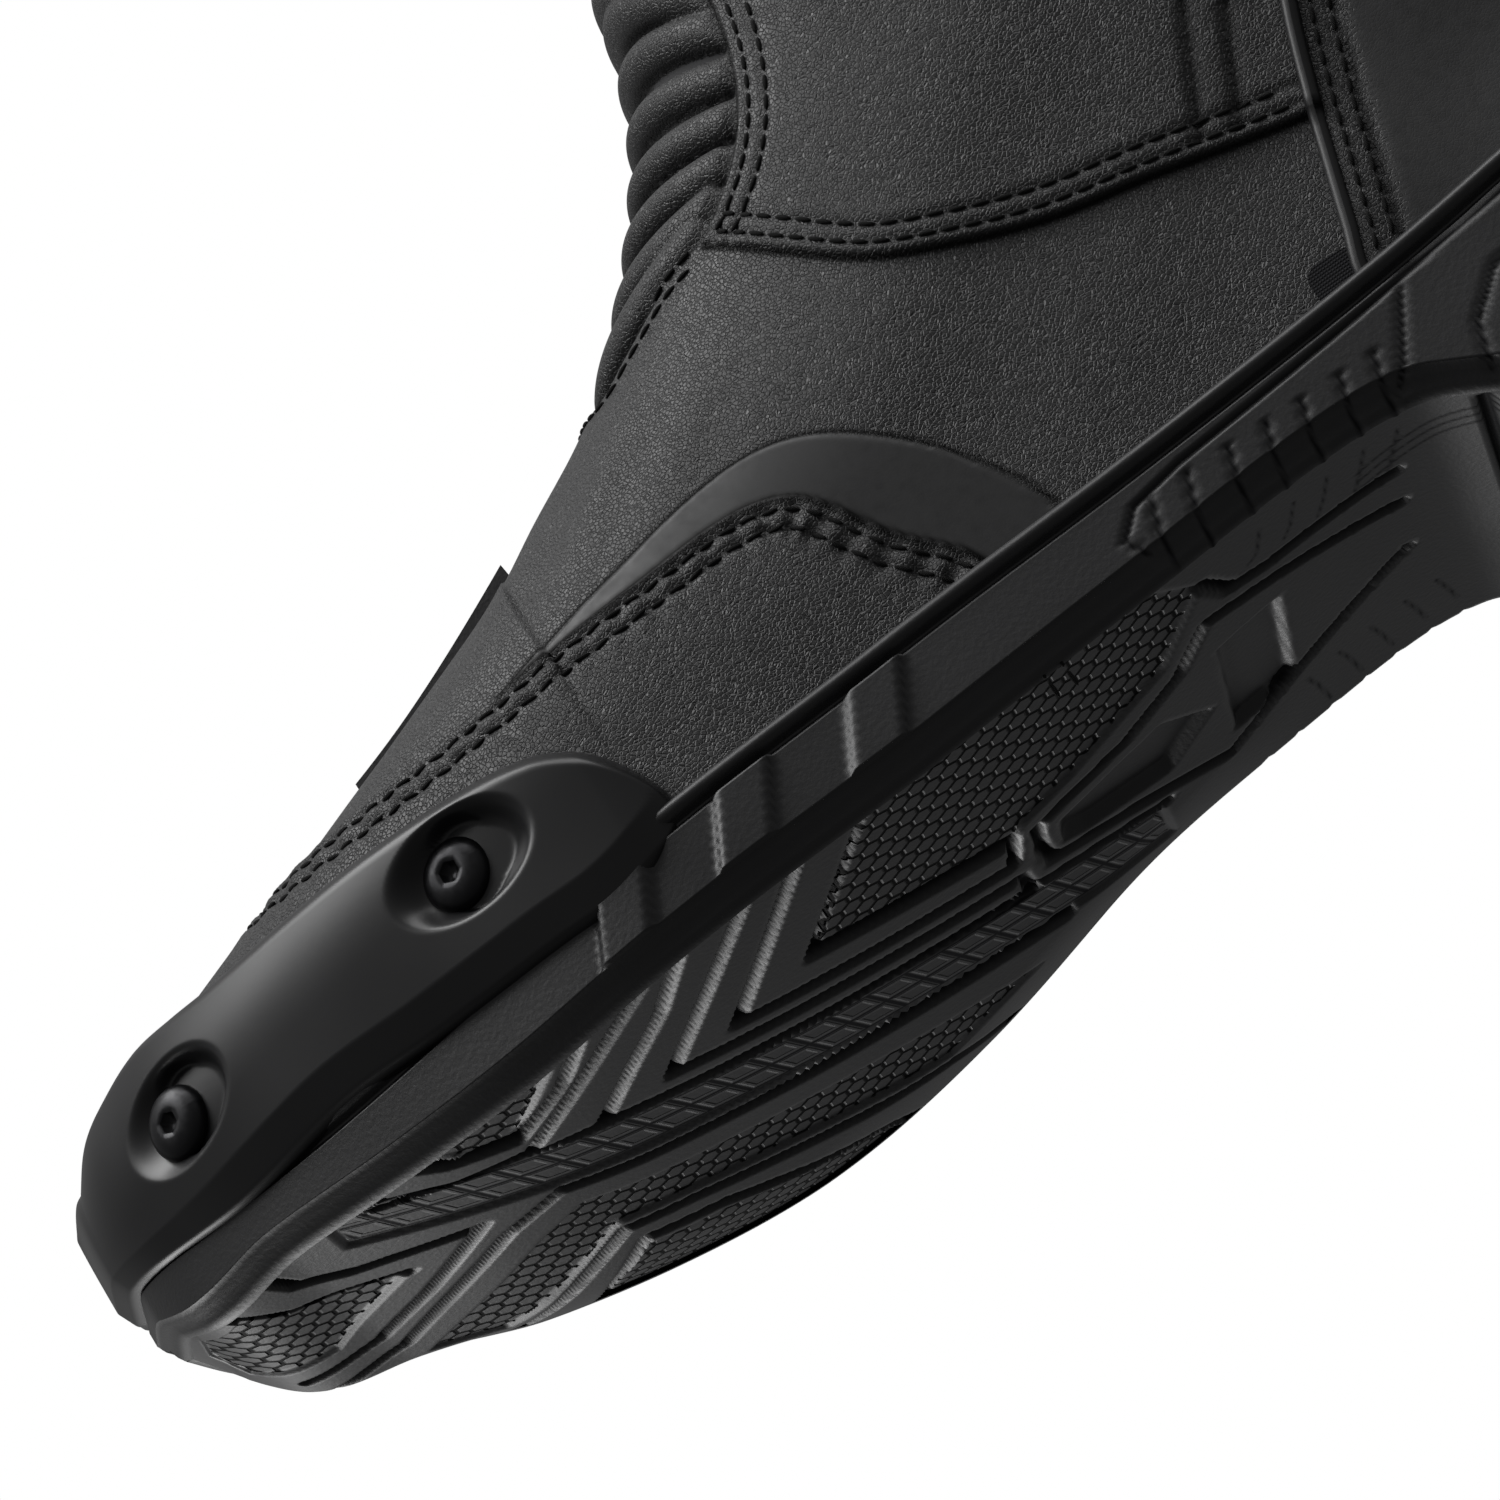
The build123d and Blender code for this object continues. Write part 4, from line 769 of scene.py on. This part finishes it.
across = np.linspace(-1, 1, 150)
share = (across[None, :, None] + 1) / 2
tread_edge = wall_points[0]
count = len(sole_x)
outer_edge, inner_edge = tread_edge[:count], tread_edge[count - 1:][::-1]
span_x, span_y, _ = np.moveaxis(inner_edge[:, None] + (outer_edge - inner_edge)[:, None] * share, 2, 0)
rolled_up = inner_rise(sole_x[:, None], -across[None, :])
span_z = sole_bottom(np.repeat(sole_x[:, None], len(across), 1)) + rolled_up
groove, fine_line = nearest(span_x, span_y, GROOVES), nearest(span_x, span_y, FINE_LINES)
hollow, cells = (np.maximum.reduce([outline_gap(span_x, span_y, shape) for shape in shapes])
                 for shapes in (HOLLOWS, HONEYCOMB))
band_across = span_y - (0.42 + 0.42 * (span_x - 200) + 0.00029 * (span_x - 200) ** 2)
in_band = np.minimum(np.minimum(3.6 - band_across, band_across + 8.4), np.minimum(span_x - 150, 268 - span_x))
depth = 1.9 * eased(1.45 - groove / 0.85) + 1.6 * eased(hollow / 1.2 + 0.5) + 0.7 * eased(cells / 0.9 + 0.5)
depth = np.maximum(depth, 0.7 * eased(in_band / 0.9 + 0.5))
tread_points = np.stack([span_x, span_y, span_z + np.minimum(depth, 2.3)], 2)
tread = grid_piece("sole_tread", tread_points, TREAD, {
    "cells": cells.ravel(), "band_across": band_across.ravel(), "in_band": in_band.ravel(),
    "groove": np.minimum(groove, fine_line + 0.55).ravel()})
for piece in (side_wall, tread):
    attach(piece, "foot")
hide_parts("outsole")

# ---- toe slider: moulded shell with a chamfered lower edge and an eye-shaped hollow round each screw ----
slider_top = smooth([(201, 17.5), (202.5, 22), (205.5, 27), (209, 30.5), (214, 33.6), (225, 36.7),
                     (237.5, 39), (251, 40.8), (265, 42.6), (272, 44.4), (279, 46.4), (288, 46.2),
                     (296, 44.5), (302.5, 43)])
slider_low = smooth([(201, 17), (202, 14.6), (204, 12.6), (208.7, 10.6), (214.8, 9.7), (222.3, 10.3),
                     (242, 12), (257, 14.3), (276.5, 15), (290, 18.6), (297, 21.3), (302.5, 24)])
SLIDER_REAR, SLIDER_TIP, SLIDER_THICKNESS, HOLLOW_DEPTH = 201.0, 302.5, 6.0, 2.9
SCREW_HOLLOWS = [(276.4, 29.8, 31.1, 0.05), (227.5, 51.2, 27.3, 0.12)]  # x, y, z and tilt


def slider_spot(q, z, d):
    """A spot d outside the boot; q runs 0 to 1 along the outer side to the toe's tip and on round it."""
    end = 296.5 + d
    x = end - (end - SLIDER_REAR) * (1 - q) ** 2
    y = np.where(q < 1, surface_y(x, z, 1, d), surface_y(x, z, -1, d))
    return np.stack([x, y, z], -1)


q = np.concatenate([np.linspace(0, 0.12, 50)[:-1], np.linspace(0.12, 1.19, 300)])[:, None]
shell_x = SLIDER_TIP - (SLIDER_TIP - SLIDER_REAR) * (1 - q) ** 2
v = np.concatenate([[0, 0], np.linspace(0, 1, 110), [1, 1]])[None, :]
rim = np.concatenate([[0.0, 0.5], np.ones(110), [0.5, 0.0]])[None, :]
zs = slider_low(shell_x) + (slider_top(shell_x) - slider_low(shell_x)) * v
tall = slider_top(shell_x) - slider_low(shell_x)
above, under = (1 - v) * tall, v * tall
shell = np.full(zs.shape, SLIDER_THICKNESS)
# rounded upper edge, flat chamfer along the lower edge and across the tip
shell -= 2.6 * np.clip(1 - above / 3.4, 0, 1) ** 2.2
facet = 5.4 - 1.6 * eased((shell_x - 270) / 25)
shell -= 1.7 * np.clip(1 - under / facet, 0, 1)
shell -= 1.2 * np.clip(1 - under / 1.2, 0, 1) ** 2
tip = np.clip((q - 0.93) / 0.26, 0, 1)
shell -= 2.4 * tip
rear = np.clip(1 - (shell_x - SLIDER_REAR) / 7.5, 0, 1)
shell -= 3.0 * rear ** 1.6
spots = slider_spot(q, zs, shell)
for sx, sy, sz, tilt in SCREW_HOLLOWS:
    flat = np.hypot(spots[..., 0] - sx, spots[..., 1] - sy) * np.sign(spots[..., 0] - sx)
    lift = zs - sz
    run, climb = flat + lift * tilt, lift - flat * tilt
    rho = np.sqrt((run / 11.5) ** 2 + (climb / 7.6) ** 2)
    scoop = HOLLOW_DEPTH * eased((1.0 - rho) / 0.42)
    round_seat = HOLLOW_DEPTH * eased((7.0 - np.hypot(flat, lift)) / 1.4)
    shell = np.minimum(shell, SLIDER_THICKNESS - np.maximum(scoop, round_seat))
spots = slider_spot(q, zs, np.maximum(shell, 1.2) * rim)
slider = grid_piece("slider_shell", spots, SLIDER_PLASTIC)
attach(slider, "foot")
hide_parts("toe_slider")


# ---- the slider's button-head screws: a dome with a hexagonal socket ----
turns = np.linspace(0, 2 * math.pi, 49)[:-1]
hexagon = math.cos(math.pi / 6) / np.cos((turns + math.pi / 6) % (math.pi / 3) - math.pi / 6)
# radius, height over the seat, and whether the ring is hexagonal
DOME = [(0.02, 0.7, 1), (1.42, 0.7, 1), (1.5, 1.75, 1), (1.64, 1.9, 1), (2.2, 1.92, 0), (3.0, 1.8, 0),
        (3.8, 1.5, 0), (4.45, 1.05, 0), (4.85, 0.5, 0), (5.0, 0.0, 0), (5.0, -0.8, 0), (2.5, -0.8, 0),
        (2.5, -4.0, 0), (0.02, -4.4, 0)]
for number, (sx, sz) in enumerate(((276.0, 30.5), (228.0, 27.5))):
    slope = (wall(sx + 2, sz, 1, 0) - wall(sx - 2, sz, 1, 0)) / 4
    out = np.array([-slope, 1, 0.12])
    out /= np.linalg.norm(out)
    side_way = np.cross([0, 0, 1], out)
    side_way /= np.linalg.norm(side_way)
    up_way = np.cross(out, side_way)
    seat = np.array([sx, float(wall(sx, sz, 1, 0)), sz]) + out * 3.0
    rings = []
    for radius, height, six in DOME:
        r = radius * (hexagon if six else 1.0)
        ring = np.outer(np.cos(turns) * r, side_way) + np.outer(np.sin(turns) * r, up_way)
        rings.append(seat + out * height + ring)
    rings = np.array(rings)
    rings = np.concatenate([rings, rings[:, :1]], 1)
    screw = grid_piece(f"button_screw_{number}", rings, STEEL)
    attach(screw, "foot")
    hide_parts("slider_screws")

# ---- stitching: short threads lying in their channel ----
deselect()
bpy.ops.mesh.primitive_uv_sphere_add(segments=8, ring_count=6, radius=1)
bead = bpy.context.object
STITCH_PITCH, STITCH_SIZE = 3.0, np.array([1.25, 0.36, 0.34])
bead_points = np.array([v.co[:] for v in bead.data.vertices])
bead_faces = [tuple(p.vertices) for p in bead.data.polygons]
bpy.data.objects.remove(bead)


def many(name, spots, frames, sizes, material):
    """Copies of the small round bead at each spot, stretched along its frame."""
    points, faces = [], []
    for spot, axes, size in zip(spots, frames, sizes):
        base = len(points) * len(bead_points)
        points.append(spot + (bead_points * size) @ axes)
        faces += [tuple(i + base for i in f) for f in bead_faces]
    mesh = bpy.data.meshes.new(name)
    mesh.from_pydata(place(np.concatenate(points)).tolist(), [], faces)
    obj = bpy.data.objects.new(name, mesh)
    bpy.context.scene.collection.objects.link(obj)
    mesh.materials.append(material)
    mesh.shade_smooth()
    return obj


def offset_line(line, gap):
    """A line in side view, moved sideways by gap."""
    line = np.array(line)
    way = np.gradient(line, axis=0)
    way /= np.linalg.norm(way, axis=1, keepdims=True)
    return line + np.stack([-way[:, 1], way[:, 0]], 1) * gap


def stitches(name, line, gap, side, body):
    """A row of stitches beside a seam; without a body it is baked in place on no body."""
    moved = offset_line(line, gap)
    spots3, out3 = on_upper(moved[:, 0], moved[:, 1], side)
    run = np.concatenate([[0], np.cumsum(np.linalg.norm(np.diff(spots3, axis=0), axis=1))])
    at = np.arange(STITCH_PITCH, run[-1] - STITCH_PITCH, STITCH_PITCH)
    centre3 = np.stack([np.interp(at, run, spots3[:, k]) for k in range(3)], 1)
    ahead = np.stack([np.interp(at + 0.4, run, spots3[:, k]) for k in range(3)], 1) - centre3
    ahead /= np.linalg.norm(ahead, axis=1, keepdims=True)
    out = np.stack([np.interp(at, run, out3[:, k]) for k in range(3)], 1)
    out /= np.linalg.norm(out, axis=1, keepdims=True)
    cross = np.cross(ahead, out)
    frames = np.stack([ahead, cross, out], 1)
    obj = many(name, centre3 + out * 0.12, frames, [STITCH_SIZE] * len(at), THREAD)
    if body:
        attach(obj, body)
    else:
        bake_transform(obj)
    return obj


toe_line = CURVES["corner"][14:] + CURVES["toe"][1:34]
for row, gap in enumerate((-1.7, -4.4)):
    stitches(f"toe_cap_stitches_{row}", toe_line, gap, 1, "foot")
for row, gap in enumerate((-1.7, -4.3)):
    stitches(f"vamp_stitches_{row}", CURVES["vamp"], gap, 1, "foot")
    stitches(f"flex_stitches_{row}", CURVES["flex"], -gap, 1, None)
counter_line = CURVES["mid"][::-1] + CURVES["low"][::-1][:26]
instep_line = [p for p in CURVES["instep"] if p[1] < 88 or p[0] < 172]
for row, gap in enumerate((-1.2, 1.2)):
    stitches(f"instep_stitches_{row}", instep_line, gap, 1, "foot")
for row, gap in enumerate((2.6, 5.0)):
    stitches(f"counter_stitches_{row}", counter_line, -gap, 1, "foot")
    stitches(f"cuff_stitches_{row}", CURVES["cuff_lateral"], gap, 1, "shaft")


def piping(name, line, side, radius, material, body):
    """A round bead lying along a seam."""
    middle, out = on_upper(*np.array(line).T, side)
    way = np.gradient(middle, axis=0)
    way /= np.linalg.norm(way, axis=1, keepdims=True)
    beside = np.cross(way, out)
    turns = np.linspace(0, 2 * math.pi, 17)
    rings = middle[:, None] + radius * (np.cos(turns)[None, :, None] * out[:, None]
                                        + np.sin(turns)[None, :, None] * beside[:, None])
    bead = grid_piece(name, rings, material)
    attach(bead, body)


piping("counter_piping", counter_line, 1, 1.15, PLASTIC, "foot")

# ---- finishes of the pieces that keep their CAD shape ----
FINISHES = {
    "toe_slider": SLIDER_PLASTIC, "slider_screws": STEEL, "slider_inserts": BRASS, "midsole": FOAM,
    "shank": STEEL, "insole_board": BOARD, "footbed": CLOTH, "toe_puff": BOARD, "vamp_interlining": CLOTH,
    "heel_stiffener": BOARD, "ankle_padding": FOAM, "shaft_padding": FOAM, "zip_gusset": CLOTH,
    "heel_lining": CLOTH, "vamp_lining": CLOTH, "ankle_lining": CLOTH, "shaft_lining": CLOTH,
    "ankle_disc": PLASTIC, "shin_plate": PLASTIC, "gear_shift_pad": PAD_RUBBER, "collar": LEATHER,
    "reflective_strip": REFLECTIVE, "pull_loop": WEBBING, "zip_tape_front": WEBBING,
    "zip_tape_rear": WEBBING, "zip_chain_front": PLASTIC, "zip_chain_rear": PLASTIC,
    "zip_bottom_stop": STEEL, "zip_slider": STEEL, "zip_pull": STEEL, "closure_flap": LEATHER,
    "loop_patch": CLOTH, "hook_patch": CLOTH,
}
for name, finish in FINISHES.items():
    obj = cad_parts[name]
    for item in obj if isinstance(obj, (list, tuple)) else [obj]:
        item.data.materials.clear()
        item.data.materials.append(finish)

# ---- floor, light and camera ----
floor_paint, tree = new_material("pale_floor")
front = node(tree, "ShaderNodeNewGeometry")
pale = node(tree, "ShaderNodeBsdfDiffuse", {"Color": linear("e8e8e8")})
clear = node(tree, "ShaderNodeBsdfTransparent")
both = node(tree, "ShaderNodeMixShader", {"Fac": (front, "Backfacing"), 1: (pale, 0), 2: (clear, 0)})
node(tree, "ShaderNodeOutputMaterial", {"Surface": (both, 0)})
deselect()
bpy.ops.mesh.primitive_plane_add(size=6, location=(0, 0, -0.0005))
floor = bpy.context.object
finish_mesh(floor, "floor", floor_paint)
floor.visible_shadow = floor.visible_diffuse = floor.visible_glossy = floor.visible_transmission = False

scene = bpy.context.scene
scene.view_settings.view_transform = "Standard"
world = bpy.data.worlds.new("studio")
scene.world = world
world.use_nodes = True
tree = world.node_tree
tree.nodes.clear()
seen = node(tree, "ShaderNodeLightPath")
coords = node(tree, "ShaderNodeTexCoord")
split = node(tree, "ShaderNodeSeparateXYZ", {0: (coords, "Generated")})
level = node(tree, "ShaderNodeMapRange", {0: (split, 2), 1: -0.6, 2: 0.9, 3: 0.12, 4: 0.3})
glow = node(tree, "ShaderNodeBackground", {"Color": (1, 1, 1, 1), "Strength": (level, 0)})
plain = node(tree, "ShaderNodeBackground", {"Color": (1, 1, 1, 1), "Strength": 1.0})
sky = node(tree, "ShaderNodeMixShader", {"Fac": (seen, "Is Camera Ray"), 1: (glow, 0), 2: (plain, 0)})
node(tree, "ShaderNodeOutputWorld", {"Surface": (sky, 0)})


def softbox(name, spot, target, size, power):
    """A rectangular area light that faces target."""
    deselect()
    bpy.ops.object.light_add(type="AREA", location=spot)
    light = bpy.context.object
    light.name = name
    light.data.shape = "RECTANGLE"
    light.data.size, light.data.size_y = size
    light.data.energy = power
    light.rotation_euler = (Vector(target) - Vector(spot)).to_track_quat("-Z", "Y").to_euler()


camera_spot = Vector((0.03495, 0.67609, -0.26941))
right, down = Vector((-0.82282, -0.24341, -0.51354)), Vector((0.56823, -0.33775, -0.75036))
ahead = Vector((0.0092, -0.90922, 0.41622))
softbox("key", camera_spot - right * 1.5 - down * 0.9 + ahead * 0.95, (0.08, 0, 0.05), (0.9, 1.3), 30)
softbox("under", camera_spot - right * 0.2 + down * 1.1 + ahead * 1.1, (0.07, 0, 0.0), (0.8, 0.35), 9)
softbox("fill", camera_spot - right * 0.5 - down * 1.3 + ahead * 0.8, (0.0, 0, 0.12), (1.0, 0.7), 8)

deselect()
bpy.ops.object.camera_add(location=camera_spot)
camera = bpy.context.object
camera.data.lens = 135
camera.data.sensor_width = 36
turn = Matrix((right, -down, -ahead)).transposed()
camera.rotation_euler = turn.to_euler()
scene.camera = camera
